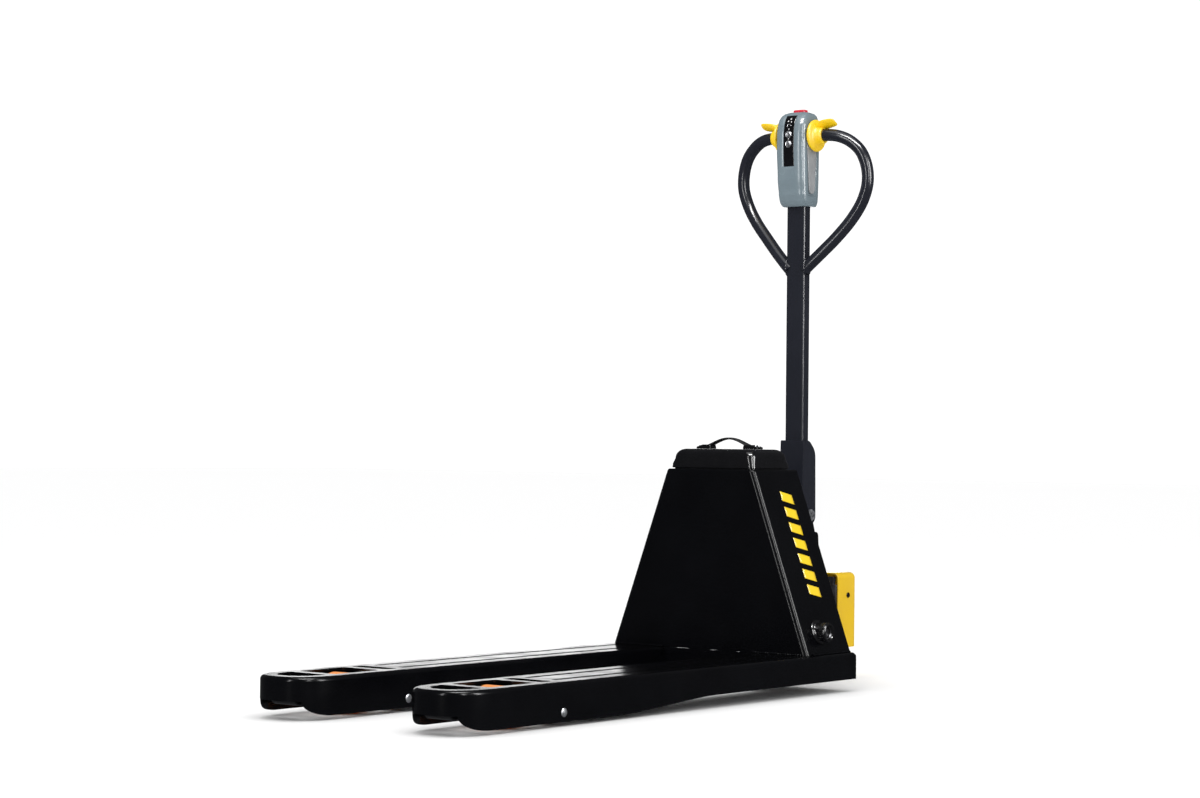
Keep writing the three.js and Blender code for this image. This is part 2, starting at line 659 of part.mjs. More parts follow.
for (const [side, s] of SIDES) {
  node(
    `hood_screw_${side}`,
    join(
      barY(-400, 195, Math.min(s * 96, s * 109), Math.max(s * 96, s * 109), 3.2, 12),
      barY(-400, 195, Math.min(s * 96, s * 99.5), Math.max(s * 96, s * 99.5), 6, 6),
    ),
    darkPlastic,
  );
}

// Gooseneck that carries the tilt pivot.
function tillerBase() {
  const [px, pz] = TILT;
  const floor = BRIDGE_Z + BRIDGE_T + 2.5;
  const disc = barZ(STEER_X, 0, floor, floor + 12, 46, 28);
  const neck = alongY(
    rounded([
      [-252, floor + 2], [-250, 292], [px + 18, pz - 26], [px + 17, pz + 18, 14], [px - 14, pz + 20, 14],
      [px - 24, pz - 8], [-390, 338], [-390, 300], [-372, floor + 2],
    ], 10),
    -24,
    24,
    4,
  );
  const shroud = alongY(
    rounded([[-258, floor], [-256, 292], [-318, 336], [-388, 340], [-391, 300], [-374, floor]], 12),
    -34,
    34,
    4,
  );
  const columnSeat = barZ(STEER_X, 0, floor - 5, floor + 1, 24 + GAP, 20);
  const bore = barY(px, pz, -60, 60, 8 + GAP);
  return cut(join(disc, neck, shroud), bore, columnSeat);
}
node("tiller_base", tillerBase(), blackPaint);

function tiltPin() {
  const [px, pz] = TILT;
  return join(
    barY(px, pz, -39, 39, 8),
    barY(px, pz, 32 + GAP, 39, 14, 6),
    barY(px, pz, -39, -32 - GAP, 14, 6),
  );
}
node("tilt_pin", tiltPin(), zinc);

// ---------------------------------------------------------------- tiller
const CHEEK = [TUBE_HALF[1] + GAP, 32];
const TUBE_FRONT = TILLER_X + TUBE_HALF[0];
function tillerBracket() {
  const [px, pz] = TILT;
  const outline = alongY(
    rounded([
      [-321, pz - 18, 12], [-327, 551, 3], [-352, 551, 10], [-377, 526, 14], [-379, pz - 14, 14],
      [px, pz - 24, 10],
    ]),
    -CHEEK[1],
    CHEEK[1],
    5,
  );
  const channel = box(-500, TUBE_FRONT + GAP, -CHEEK[0], CHEEK[0], 300, 600);
  const bore = barY(px, pz, -60, 60, 8 + GAP);
  return cut(outline, channel, bore);
}
node("tiller_bracket", tillerBracket(), tillerPaint);

const tubePlan = (inset, r) =>
  rectangle(
    TILLER_X - TUBE_HALF[0] + inset, TILLER_X + TUBE_HALF[0] - inset,
    -TUBE_HALF[1] + inset, TUBE_HALF[1] - inset, r,
  );
const TUBE_Z = [432, 1125];
node(
  "tiller_tube",
  cut(alongZ(tubePlan(0, 4), ...TUBE_Z, 3), alongZ(tubePlan(3, 2), TUBE_Z[0] - 1, TUBE_Z[1] + 1, 2)),
  tillerPaint,
);

// One side of the heart-shaped loop, from the throttle axis down to the tube.
function loopSide(s) {
  const centre = [
    [GRIP_X, 42, GRIP_Z], [GRIP_X, 60, GRIP_Z], [GRIP_X - 0.6, 80, GRIP_Z], [-351, 106, 1252],
    [-358, 132, 1240], [-364, 157, 1216], [-368, 171, 1182], [-370, 173, 1144], [-371, 160, 1104],
    [-368, 134, 1063], [-361, 96, 1020], [-351, 60, 984], [-344, 29, 955], [-342, 14, 941],
  ].map(([x, y, z]) => new THREE.Vector3(x, s * y, z));
  const path = new THREE.CatmullRomCurve3(centre, false, "centripetal");
  const section = new THREE.Shape();
  const sides = 12;
  for (let i = 0; i <= sides; i++) {
    const angle = (i / sides) * 2 * Math.PI;
    const p = [LOOP_R * Math.cos(angle), LOOP_R * Math.sin(angle)];
    if (i) section.lineTo(...p);
    else section.moveTo(...p);
  }
  const tube = solid(
    new THREE.ExtrudeGeometry(section, { steps: 26, extrudePath: path, bevelEnabled: false }),
  );
  const keep = TUBE_HALF[1] + GAP;
  return cut(tube, s > 0 ? box(-500, -200, -50, keep, 800, 1100) : box(-500, -200, -keep, 50, 800, 1100));
}
for (const [side, s] of SIDES) node(`handle_loop_${side}`, loopSide(s), tillerPaint);

// Throttle: on each side a disc, a sleeve round the loop tube and a thumb wing.
function throttle(s) {
  const profile = [
    [LOOP_R + 0.5, 42.5], [33, 42.5], [37, 45], [37, 49], [33, 52], [24, 54], [20, 58], [19, 68],
    [17.5, 70], [LOOP_R + 0.5, 70], [LOOP_R + 0.5, 42.5],
  ];
  let hub = turnedY(profile, GRIP_X, GRIP_Z, 28);
  const wing = alongZ(
    rounded([[-20, 45.5, 2], [18, 45.5, 2], [17, 70, 12], [14, 102, 9], [-14, 102, 9], [-17, 74, 12]]),
    -4.5, 4.5,
  );
  const tilt = new THREE.Matrix4().makeRotationY(-0.5);
  const lifted = wing.transform(tilt.elements).translate([GRIP_X + 2, 0, GRIP_Z + 29]);
  const riser = bar([GRIP_X, 50, GRIP_Z + 17], [GRIP_X + 2, 62, GRIP_Z + 28], 8, 12, 7);
  const shaftWay = barY(GRIP_X, GRIP_Z, 0, 120, LOOP_R + 0.5, 28);
  hub = cut(join(hub, lifted, riser), shaftWay);
  return s > 0 ? hub : hub.mirror([0, 1, 0]);
}
for (const [side, s] of SIDES) node(`throttle_${side}`, throttle(s), yellowPlastic);

// ---------------------------------------------------------------- control head
const HEAD_LEVELS = [
  { z: 1093, x0: -372, x1: -319, half: 35, r: 9 },
  { z: 1103, x0: -377, x1: -311, half: 38, r: 12 },
  { z: 1145, x0: -379, x1: -303, half: 40, r: 13 },
  { z: 1227, x0: -381, x1: -299, half: 41.5, r: 13 },
  { z: 1268, x0: -381, x1: -301, half: 41.5, r: 13 },
  { z: 1292, x0: -378, x1: -309, half: 40, r: 14 },
  { z: 1306, x0: -372, x1: -321, half: 35, r: 14 },
  { z: 1312, x0: -364, x1: -332, half: 28, r: 10 },
];
const WALL = 4;
const headOuter = stacked(HEAD_LEVELS);
const headInner = stacked(
  HEAD_LEVELS.map(({ z, x0, x1, half, r }, i) => ({
    z: i === 0 ? z + WALL : i === HEAD_LEVELS.length - 1 ? z - WALL : z,
    x0: x0 + WALL, x1: x1 - WALL, half: half - WALL, r: Math.max(r - WALL, 4),
  })),
);
const HEAD_SPLIT = -337;
const PANEL = { half: 14.5, bottom: 1184, top: 1303 };
const panelPrism = (grow) =>
  alongX(
    rectangle(-PANEL.half - grow, PANEL.half + grow, PANEL.bottom - grow, PANEL.top + grow, 5),
    -336, -280,
  );
const BUTTONS = [
  { name: "raise_button", z: 1258, r: 6.5 },
  { name: "lower_button", z: 1236, r: 6.5 },
  { name: "horn_button", z: 1278, r: 3.6 },
];
const BELLY = { x: -350, halfX: 9, halfY: 16, bottom: 1300, top: 1319 };
const bellyPlan = (grow) =>
  rectangle(BELLY.x - BELLY.halfX - grow, BELLY.x + BELLY.halfX + grow, -BELLY.halfY - grow, BELLY.halfY + grow, 5);
const tubeWay = alongZ(
  rectangle(
    TILLER_X - TUBE_HALF[0] - GAP, TILLER_X + TUBE_HALF[0] + GAP, -TUBE_HALF[1] - GAP, TUBE_HALF[1] + GAP, 3,
  ),
  1080, TUBE_Z[1] + 1, 3,
);
const bellyWay = alongZ(bellyPlan(0.6), 1290, 1330);
const headShell = cut(headOuter, headInner, tubeWay, bellyWay);
const buttonWays = BUTTONS.map(({ z, r }) => bar([-336, 0, z], [-280, 0, z], r + 0.5));

const frontHalf = box(HEAD_SPLIT + GAP, -280, -60, 60, 1080, 1330);
const rearHalf = box(-400, HEAD_SPLIT, -60, 60, 1080, 1330);
const panelSkin = headOuter
  .translate([-0.5, 0, 0])
  .subtract(headOuter.translate([-2.3, 0, 0]))
  .intersect(panelPrism(0));

node("head_front_cover", cut(headShell.intersect(frontHalf), panelPrism(0.4)), greyPlastic);
node("head_rear_cover", headShell.intersect(rearHalf), greyPlastic);
node("display_panel", cut(panelSkin, ...buttonWays), glossBlack);
const faceX = (z) => {
  const i = HEAD_LEVELS.findIndex((level) => level.z > z);
  const [a, b] = [HEAD_LEVELS[i - 1], HEAD_LEVELS[i]];
  return a.x1 + ((b.x1 - a.x1) * (z - a.z)) / (b.z - a.z);
};
for (const { name, z, r } of BUTTONS) {
  const face = faceX(z) + 1.6;
  node(name, bar([face - 14, 0, z], [face, 0, z], r, 16, r - 0.8), name === "horn_button" ? darkPlastic : zinc);
}
node("belly_button", alongZ(bellyPlan(0), BELLY.bottom, BELLY.top), redPlastic);

export default truck;
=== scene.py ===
"""Looks of the electric pallet truck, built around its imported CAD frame.

Metres, in the CAD frame: +X to the fork tips, +Y to the key switch side, +Z up.
Lengths written as numbers are millimetres, turned into metres by MM. The camera, the lamps and the
floor are placed in metres.
"""

import json
import math
from math import cos, pi, sin

import bmesh
import bpy
from mathutils import Matrix, Vector


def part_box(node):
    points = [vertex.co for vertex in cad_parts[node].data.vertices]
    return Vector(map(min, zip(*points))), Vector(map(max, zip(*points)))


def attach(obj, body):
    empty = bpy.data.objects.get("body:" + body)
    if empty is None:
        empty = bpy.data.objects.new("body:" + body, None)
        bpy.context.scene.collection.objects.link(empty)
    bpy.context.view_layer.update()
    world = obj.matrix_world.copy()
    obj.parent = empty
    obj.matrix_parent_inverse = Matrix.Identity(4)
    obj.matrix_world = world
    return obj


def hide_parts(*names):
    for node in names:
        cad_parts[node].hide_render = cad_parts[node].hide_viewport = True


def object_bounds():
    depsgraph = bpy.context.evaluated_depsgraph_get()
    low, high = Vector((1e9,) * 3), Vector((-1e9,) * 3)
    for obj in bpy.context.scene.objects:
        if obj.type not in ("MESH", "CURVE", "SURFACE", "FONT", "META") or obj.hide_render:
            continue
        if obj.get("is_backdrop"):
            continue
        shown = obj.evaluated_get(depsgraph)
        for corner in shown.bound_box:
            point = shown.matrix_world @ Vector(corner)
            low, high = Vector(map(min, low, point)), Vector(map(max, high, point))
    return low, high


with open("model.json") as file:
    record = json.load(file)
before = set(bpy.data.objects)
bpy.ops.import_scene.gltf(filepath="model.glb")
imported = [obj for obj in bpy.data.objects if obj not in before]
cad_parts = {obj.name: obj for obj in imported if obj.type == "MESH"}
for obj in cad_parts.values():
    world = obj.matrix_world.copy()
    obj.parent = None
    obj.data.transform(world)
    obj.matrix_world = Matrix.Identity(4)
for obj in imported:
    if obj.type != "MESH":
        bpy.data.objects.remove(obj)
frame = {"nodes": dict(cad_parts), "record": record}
cad_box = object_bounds()

MM = 0.001
SIDES = (("left", 1), ("right", -1))


# ---------------------------------------------------------------- mesh helpers
def new_mesh(name, verts, faces, material, body, smooth=35):
    """A mesh piece from vertices and faces, which rides on a CAD body."""
    mesh = bpy.data.meshes.new(name)
    mesh.from_pydata([tuple(v) for v in verts], [], [tuple(f) for f in faces])
    mesh.validate()
    bm = bmesh.new()
    bm.from_mesh(mesh)
    bmesh.ops.recalc_face_normals(bm, faces=bm.faces)
    bm.to_mesh(mesh)
    bm.free()
    obj = bpy.data.objects.new(name, mesh)
    bpy.context.scene.collection.objects.link(obj)
    dress(obj, material, smooth)
    if body:
        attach(obj, body)
    return obj


def dress(obj, material, smooth=35):
    obj.data.materials.clear()
    obj.data.materials.append(material)
    obj.data.set_sharp_from_angle(angle=math.radians(smooth))
    for polygon in obj.data.polygons:
        polygon.use_smooth = True


def ring_faces(rings, count, closed=True, caps=True):
    """Quads between successive rings of count points, with end caps."""
    faces = []
    around = count if closed else count - 1
    for r in range(rings - 1):
        for i in range(around):
            a, b = r * count + i, r * count + (i + 1) % count
            faces.append((a, b, b + count, a + count))
    if caps:
        faces.append(tuple(range(count))[::-1])
        faces.append(tuple(range((rings - 1) * count, rings * count)))
    return faces


def grid_faces(rows, columns):
    """Quads of a sheet whose points run row by row."""
    wide = columns + 1
    return [
        (r * wide + c, r * wide + c + 1, (r + 1) * wide + c + 1, (r + 1) * wide + c)
        for r in range(rows) for c in range(columns)
    ]


def loft(name, rings, material, body, smooth=35, caps=True):
    count = len(rings[0])
    verts = [p for ring in rings for p in ring]
    faces = ring_faces(len(rings), count, caps=caps)
    return new_mesh(name, verts, faces, material, body, smooth)


def turned(name, profile, centre, axis, material, body, segments=72, smooth=35):
    """A turned piece: profile of (radius, along) round an axis through centre."""
    axis = Vector(axis).normalized()
    side = axis.orthogonal().normalized()
    other = axis.cross(side)
    centre = Vector(centre)
    rings = []
    for radius, along in profile:
        ring = []
        for i in range(segments):
            angle = 2 * pi * i / segments
            out = side * cos(angle) + other * sin(angle)
            ring.append(centre + axis * along * MM + out * max(radius, 0.02) * MM)
        rings.append(ring)
    closed_profile = profile[0] == profile[-1]
    return loft(name, rings, material, body, smooth, caps=not closed_profile)


def tube(name, path, radius, material, body, sides=28, squash=1.0):
    """A round tube along a list of points, with flat ends."""
    path = [Vector(p) for p in path]
    normal = None
    rings = []
    for i, point in enumerate(path):
        ahead = path[min(i + 1, len(path) - 1)]
        behind = path[max(i - 1, 0)]
        along = (ahead - behind).normalized()
        if normal is None:
            normal = along.orthogonal().normalized()
        normal = (normal - along * normal.dot(along)).normalized()
        other = along.cross(normal)
        ring = []
        for k in range(sides):
            angle = 2 * pi * k / sides
            ring.append(point + (normal * cos(angle) + other * sin(angle) * squash) * radius * MM)
        rings.append(ring)
    return loft(name, rings, material, body, 50)


def smooth_path(points, steps):
    """A centripetal Catmull-Rom curve through the points."""
    points = [Vector(p) for p in points]
    ends = [points[0] * 2 - points[1]] + points + [points[-1] * 2 - points[-2]]
    result = []
    for i in range(1, len(ends) - 2):
        p0, p1, p2, p3 = ends[i - 1 : i + 3]
        t1 = (p1 - p0).length ** 0.5
        t2 = t1 + (p2 - p1).length ** 0.5
        t3 = t2 + (p3 - p2).length ** 0.5
        for k in range(steps):
            t = t1 + (t2 - t1) * k / steps
            a1 = p0 * ((t1 - t) / t1) + p1 * (t / t1)
            a2 = p1 * ((t2 - t) / (t2 - t1)) + p2 * ((t - t1) / (t2 - t1))
            a3 = p2 * ((t3 - t) / (t3 - t2)) + p3 * ((t - t2) / (t3 - t2))
            b1 = a1 * ((t2 - t) / t2) + a2 * (t / t2)
            b2 = a2 * ((t3 - t) / (t3 - t1)) + a3 * ((t - t1) / (t3 - t1))
            result.append(b1 * ((t2 - t) / (t2 - t1)) + b2 * ((t - t1) / (t2 - t1)))
    result.append(points[-1])
    return result


def rounded_outline(corners, steps=6):
    """Points of a closed polygon with rounded corners; a corner is (a, b, radius)."""
    outline = []
    count = len(corners)
    for i, (a, b, radius) in enumerate(corners):
        here = Vector((a, b))
        before = Vector(corners[i - 1][:2]) - here
        after = Vector(corners[(i + 1) % count][:2]) - here
        if radius <= 0:
            outline.append((a, b))
            continue
        half = before.angle(after) / 2
        reach = min(radius / math.tan(half), before.length * 0.49, after.length * 0.49)
        true_radius = reach * math.tan(half)
        centre = here + (before.normalized() + after.normalized()).normalized() * (true_radius / sin(half))
        start = here + before.normalized() * reach - centre
        turn = start.angle_signed(here + after.normalized() * reach - centre)
        for k in range(steps + 1):
            point = start.copy()
            point.rotate(Matrix.Rotation(-turn * k / steps, 2))
            outline.append(tuple(centre + point))
    return outline


def prism(name, outline, low, high, plane, material, body, smooth=35):
    """An outline extruded between low and high along the axis that plane leaves out."""
    place = {
        "xz": lambda a, b, c: (a, c, b),
        "yz": lambda a, b, c: (c, a, b),
        "xy": lambda a, b, c: (a, b, c),
    }[plane]
    rings = [[Vector(place(a * MM, b * MM, c * MM)) for a, b in outline] for c in (low, high)]
    return loft(name, rings, material, body, smooth)


def cut(obj, *cutters):
    """Subtracts the cutters from obj for good and removes them."""
    for cutter in cutters:
        modifier = obj.modifiers.new("cut", "BOOLEAN")
        modifier.operation = "DIFFERENCE"
        modifier.solver = "EXACT"
        modifier.object = cutter
    apply_modifiers(obj)
    for cutter in cutters:
        bpy.data.objects.remove(cutter)


def apply_modifiers(obj):
    graph = bpy.context.evaluated_depsgraph_get()
    mesh = bpy.data.meshes.new_from_object(obj.evaluated_get(graph))
    obj.modifiers.clear()
    obj.data = mesh


def soften(obj, width, segments=3, angle=32):
    """Rounds the edges that are sharper than angle."""
    bevel = obj.modifiers.new("soften", "BEVEL")
    bevel.width = width * MM
    bevel.segments = segments
    bevel.limit_method = "ANGLE"
    bevel.angle_limit = math.radians(angle)
    bevel.use_clamp_overlap = True
    bevel.harden_normals = False
    normals = obj.modifiers.new("flat_faces", "WEIGHTED_NORMAL")
    normals.keep_sharp = True


def centre_of(node):
    low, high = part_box(node)
    return (Vector(low) + Vector(high)) / 2


# ---------------------------------------------------------------- materials
def material(name, color, roughness, metallic=0.0, coat=0.0, specular=0.5):
    mat = bpy.data.materials.new(name)
    mat.use_nodes = True
    shader = mat.node_tree.nodes["Principled BSDF"]
    shader.inputs["Base Color"].default_value = (*color, 1)
    shader.inputs["Roughness"].default_value = roughness
    shader.inputs["Metallic"].default_value = metallic
    shader.inputs["Coat Weight"].default_value = coat
    shader.inputs["Coat Roughness"].default_value = 0.06
    shader.inputs["Specular IOR Level"].default_value = specular
    return mat


def add(mat, kind, **inputs):
    node = mat.node_tree.nodes.new(kind)
    for key, value in inputs.items():
        node.inputs[key.replace("_", " ")].default_value = value
    return node


def noise(mat, scale, detail=4.0, rough=0.55, stretch=None):
    coords = add(mat, "ShaderNodeTexCoord")
    texture = add(mat, "ShaderNodeTexNoise", Scale=scale, Detail=detail, Roughness=rough)
    source = coords.outputs["Object"]
    if stretch:
        mapping = add(mat, "ShaderNodeMapping")
        mapping.inputs["Scale"].default_value = stretch
        mat.node_tree.links.new(source, mapping.inputs["Vector"])
        source = mapping.outputs["Vector"]
    mat.node_tree.links.new(source, texture.inputs["Vector"])
    return texture.outputs["Fac"]


def remap(mat, source, low, high, from_low=0.3, from_high=0.7):
    node = add(mat, "ShaderNodeMapRange")
    node.inputs["From Min"].default_value = from_low
    node.inputs["From Max"].default_value = from_high
    node.inputs["To Min"].default_value = low
    node.inputs["To Max"].default_value = high
    mat.node_tree.links.new(source, node.inputs["Value"])
    return node.outputs["Result"]


def vary_roughness(mat, source, low, high):
    shader = mat.node_tree.nodes["Principled BSDF"]
    mat.node_tree.links.new(remap(mat, source, low, high), shader.inputs["Roughness"])


def vary_color(mat, source, dark, light, from_low=0.3, from_high=0.7):
    ramp = add(mat, "ShaderNodeMix")
    ramp.data_type = "RGBA"
    ramp.inputs["A"].default_value = (*dark, 1)
    ramp.inputs["B"].default_value = (*light, 1)
    factor = remap(mat, source, 0, 1, from_low, from_high)
    shader = mat.node_tree.nodes["Principled BSDF"]
    mat.node_tree.links.new(factor, ramp.inputs["Factor"])
    mat.node_tree.links.new(ramp.outputs["Result"], shader.inputs["Base Color"])


def bump(mat, source, depth_mm, strength=1.0):
    node = add(mat, "ShaderNodeBump")
    node.inputs["Strength"].default_value = strength
    node.inputs["Distance"].default_value = depth_mm * MM
    mat.node_tree.links.new(source, node.inputs["Height"])
    shader = mat.node_tree.nodes["Principled BSDF"]
    links = list(mat.node_tree.links)
    for earlier in [link for link in links if link.to_socket == shader.inputs["Normal"]]:
        mat.node_tree.links.new(earlier.from_socket, node.inputs["Normal"])
    mat.node_tree.links.new(node.outputs["Normal"], shader.inputs["Normal"])


def powder_coat(name, dark, light, roughness, coat=0.35, specular=0.5):
    """Gloss powder coat: fine orange peel, faint dust and slight colour drift."""
    mat = material(name, dark, roughness, coat=coat, specular=specular)
    vary_color(mat, noise(mat, 9, 5), dark, light)
    vary_roughness(mat, noise(mat, 14, 1, 0.3), roughness * 0.9, roughness * 1.15)
    bump(mat, noise(mat, 7, 2, 0.4), 0.6, 0.05)
    return mat


def moulded(name, dark, light, roughness, grain=1500, depth=0.03):
    """Moulded plastic with a fine spark-eroded grain."""
    mat = material(name, dark, roughness)
    vary_color(mat, noise(mat, 30, 4), dark, light)
    vary_roughness(mat, noise(mat, 24, 1, 0.3), roughness * 0.9, roughness * 1.15)
    bump(mat, noise(mat, grain, 2, 0.5), depth, 0.5)
    return mat


def steel(name, dark, light, roughness, stretch=None, scale=160):
    """Machined or plated metal with fine working marks."""
    mat = material(name, dark, roughness, metallic=1.0)
    vary_color(mat, noise(mat, 45, 5), dark, light)
    vary_roughness(mat, noise(mat, scale, 4, stretch=stretch), roughness * 0.7, roughness * 1.5)
    bump(mat, noise(mat, scale * 3, 3, stretch=stretch), 0.02, 0.4)
    return mat


def rubber(name, dark, light, roughness):
    mat = material(name, dark, roughness, specular=0.35)
    vary_color(mat, noise(mat, 35, 6), dark, light)
    vary_roughness(mat, noise(mat, 90, 5), roughness * 0.85, min(roughness * 1.2, 1))
    bump(mat, noise(mat, 900, 3), 0.06, 0.6)
    return mat


MATERIALS = {
    "chassis_paint": powder_coat(
        "black_powder_coat", (0.0014, 0.0015, 0.0022), (0.0024, 0.0026, 0.0036), 0.2, 0.0, 0.16),
    "tiller_paint": powder_coat(
        "tiller_powder_coat", (0.0125, 0.0140, 0.0205), (0.0160, 0.0175, 0.0255), 0.2, 0.0, 0.4),
    "hood_paint": powder_coat("hood_powder_coat", (0.80, 0.50, 0.0015), (0.86, 0.56, 0.003), 0.34),
    "throttle_plastic": moulded("yellow_plastic", (0.95, 0.60, 0.001), (1.0, 0.68, 0.003), 0.36),
    "head_plastic": moulded("grey_plastic", (0.165, 0.214, 0.242), (0.185, 0.238, 0.268), 0.24, 900, 0.001),
    "cover_plastic": moulded(
        "black_plastic", (0.0020, 0.0020, 0.0028), (0.0036, 0.0036, 0.0046), 0.18, 500, 0.003),
    "panel_gloss": moulded("panel_lens", (0.002, 0.002, 0.003), (0.004, 0.004, 0.005), 0.1, 300, 0.004),
    "stop_red": moulded("red_plastic", (0.66, 0.006, 0.028), (0.74, 0.010, 0.04), 0.34),
    "load_urethane": rubber("orange_urethane", (0.92, 0.27, 0.045), (1.0, 0.36, 0.08), 0.42),
    "drive_rubber": rubber("black_rubber", (0.012, 0.012, 0.013), (0.020, 0.020, 0.022), 0.62),
    "zinc_steel": steel("zinc_steel", (0.52, 0.53, 0.55), (0.68, 0.69, 0.71), 0.3),
    "cast_steel": steel("cast_steel", (0.055, 0.056, 0.062), (0.09, 0.092, 0.1), 0.5, scale=60),
    "alloy": steel("cast_alloy", (0.42, 0.43, 0.45), (0.55, 0.56, 0.58), 0.42, scale=90),
}
DECAL = powder_coat("decal_yellow", (0.98, 0.64, 0.0015), (1.0, 0.70, 0.003), 0.3)
ICON = moulded("icon_white", (0.82, 0.82, 0.82), (0.9, 0.9, 0.9), 0.4)
STRAP = rubber("strap_rubber", (0.008, 0.008, 0.009), (0.014, 0.014, 0.016), 0.42)
KEY_STEEL = steel("key_dark_steel", (0.05, 0.05, 0.055), (0.09, 0.09, 0.095), 0.3)

# ---------------------------------------------------------------- carried-over CAD nodes
EDGE_RADIUS = {
    "tiller_bracket": 2.2, "tiller_tube": 1.6, "tiller_base": 3.0, "cross_member": 1.6, "rear_cover": 1.0,
    "drive_yoke": 2.0, "drive_frame": 1.4, "load_arm_left": 1.5, "load_arm_right": 1.5, "rocker": 1.5,
    "hydraulic_power_pack": 1.5, "motor_controller": 1.0, "battery_tray": 1.0, "lift_cylinder": 1.2,
}
FINE_EDGE = 0.6


def dress_cad_nodes():
    """Paint and softened edges for the nodes that are shown as they are in CAD."""
    slot_of = {part["node"]: part["material_slot"] for part in frame["record"]["subparts"]}
    for node, obj in frame["nodes"].items():
        for holder in obj.material_slots:
            holder.material = MATERIALS[slot_of[node]]
        weld = obj.modifiers.new("weld", "WELD")
        weld.merge_threshold = 0.01 * MM
        soften(obj, EDGE_RADIUS.get(node, FINE_EDGE), 3 if node in EDGE_RADIUS else 2)


dress_cad_nodes()

# ---------------------------------------------------------------- chassis
FORK_LOW, FORK_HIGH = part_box("fork_left")
FORK_FRONT = FORK_HIGH[0] / MM
FORK_REAR = FORK_LOW[0] / MM
FORK_TOP = FORK_HIGH[2] / MM
FORK_HALF = (FORK_HIGH[1] - FORK_LOW[1]) / MM / 2
FACE_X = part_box("tower_shell")[1][0] / MM  # front of the tower, where the fork length starts
NOSE_START = FACE_X + 1035
NOSE_BLUNT = 0.78  # below 1 the nose is blunter than an ellipse
SHEET = 5  # pressed steel of the forks
TOP_BEND = 9  # radius between a fork's top and its sides
WINDOW_HALF = 50  # half width of the openings in a fork's top


def fork_plan(inset, rear, steps=40):
    """Outline of a fork from above, moved inwards by inset."""
    half = FORK_HALF - inset
    nose = FORK_FRONT - NOSE_START - inset
    plan = [(rear, -half)]
    for i in range(-steps, steps + 1):
        angle = i / steps * pi / 2
        ahead = max(cos(angle), 0) ** NOSE_BLUNT
        aside = math.copysign(abs(sin(angle)) ** NOSE_BLUNT, angle)
        plan.append((NOSE_START + nose * ahead, half * aside))
    plan.append((rear, half))
    return plan


def fork_underside():
    """Side profile of the skirt, closed well above the fork."""
    skirt, rear_skirt, nose = 9, 27, 38
    notch = FACE_X + 1126

    def bend(p0, p1, p2, steps=8):
        for k in range(1, steps + 1):
            t = k / steps
            yield tuple((1 - t) ** 2 * a + 2 * t * (1 - t) * b + t * t * c for a, b, c in zip(p0, p1, p2))

    line = [(FORK_REAR - 30, rear_skirt), (FORK_REAR, rear_skirt), (FACE_X + 330, rear_skirt)]
    line += bend((FACE_X + 330, rear_skirt), (FACE_X + 370, rear_skirt), (FACE_X + 410, rear_skirt - 2))
    line += bend((FACE_X + 610, skirt + 2), (FACE_X + 650, skirt), (FACE_X + 690, skirt))
    line += bend((FACE_X + 1060, skirt), (notch - 4, skirt), (notch, nose), 14)
    line += [(FORK_FRONT + 30, nose), (FORK_FRONT + 30, -50), (FORK_REAR - 30, -50)]
    return line


def fork_window(start, end, radius):
    """Opening in a fork's top between two distances from the tower front."""
    x0, x1, half = FACE_X + start, FACE_X + end, WINDOW_HALF
    return rounded_outline([(x0, -half, radius), (x1, -half, radius), (x1, half, radius), (x0, half, radius)])


def make_fork(side, sign):
    """Hollow pressed fork with its openings and grooves, and the web inside its nose."""
    y = sign * (FORK_HIGH[1] + FORK_LOW[1]) / MM / 2
    rings = []
    levels = [(0, 0.0), (0, FORK_TOP - TOP_BEND)]
    levels += [
        (TOP_BEND * (1 - cos(a)), FORK_TOP - TOP_BEND + TOP_BEND * sin(a))
        for a in [pi / 2 * k / 6 for k in range(1, 7)]
    ]
    for inset, z in levels:
        plan = fork_plan(inset, FORK_REAR + min(inset, 3))
        rings.append([Vector((a * MM, (y + b) * MM, z * MM)) for a, b in plan])
    paint = MATERIALS["chassis_paint"]
    fork = loft(f"fork_shell_{side}", rings, paint, "lift_chassis", 28)

    def slab(outline, low, high, plane="xy", shift=y):
        moved = [(a, b + shift) if plane == "xy" else (a, b) for a, b in outline]
        return prism("cutter", moved, low, high, plane, paint, None)

    hollow = slab(fork_plan(SHEET, FORK_REAR + SHEET), -10, FORK_TOP - SHEET)
    tip = rounded_outline([
        (FACE_X + 1052, -WINDOW_HALF, 8), (FACE_X + 1096, -43, 26), (FACE_X + 1121, -16, 22),
        (FACE_X + 1121, 16, 22), (FACE_X + 1096, 43, 26), (FACE_X + 1052, WINDOW_HALF, 8)])
    windows = (fork_window(902, 1030, 9), fork_window(848, 880, 8), tip)
    holes = [slab(hole, FORK_TOP - SHEET - 3, FORK_TOP + 5) for hole in windows]
    below = slab(fork_underside(), y - 90, y + 90, "xz")
    grooves = [canoe(y + dy) for dy in (-34, 34)]
    cut(fork, below, hollow, *holes, *grooves)
    soften(fork, 1.6, 3, 38)
    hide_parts(f"fork_{side}")
    half = FORK_HALF - SHEET - 0.5
    low, high = 20, FORK_TOP - SHEET
    outline = [(y - half, low), (y + half, low), (y + half, high), (y - half, high)]
    web = prism(f"fork_web_{side}", outline, FACE_X + 1036, FACE_X + 1042, "yz", paint,
                "lift_chassis")
    soften(web, 1.0)


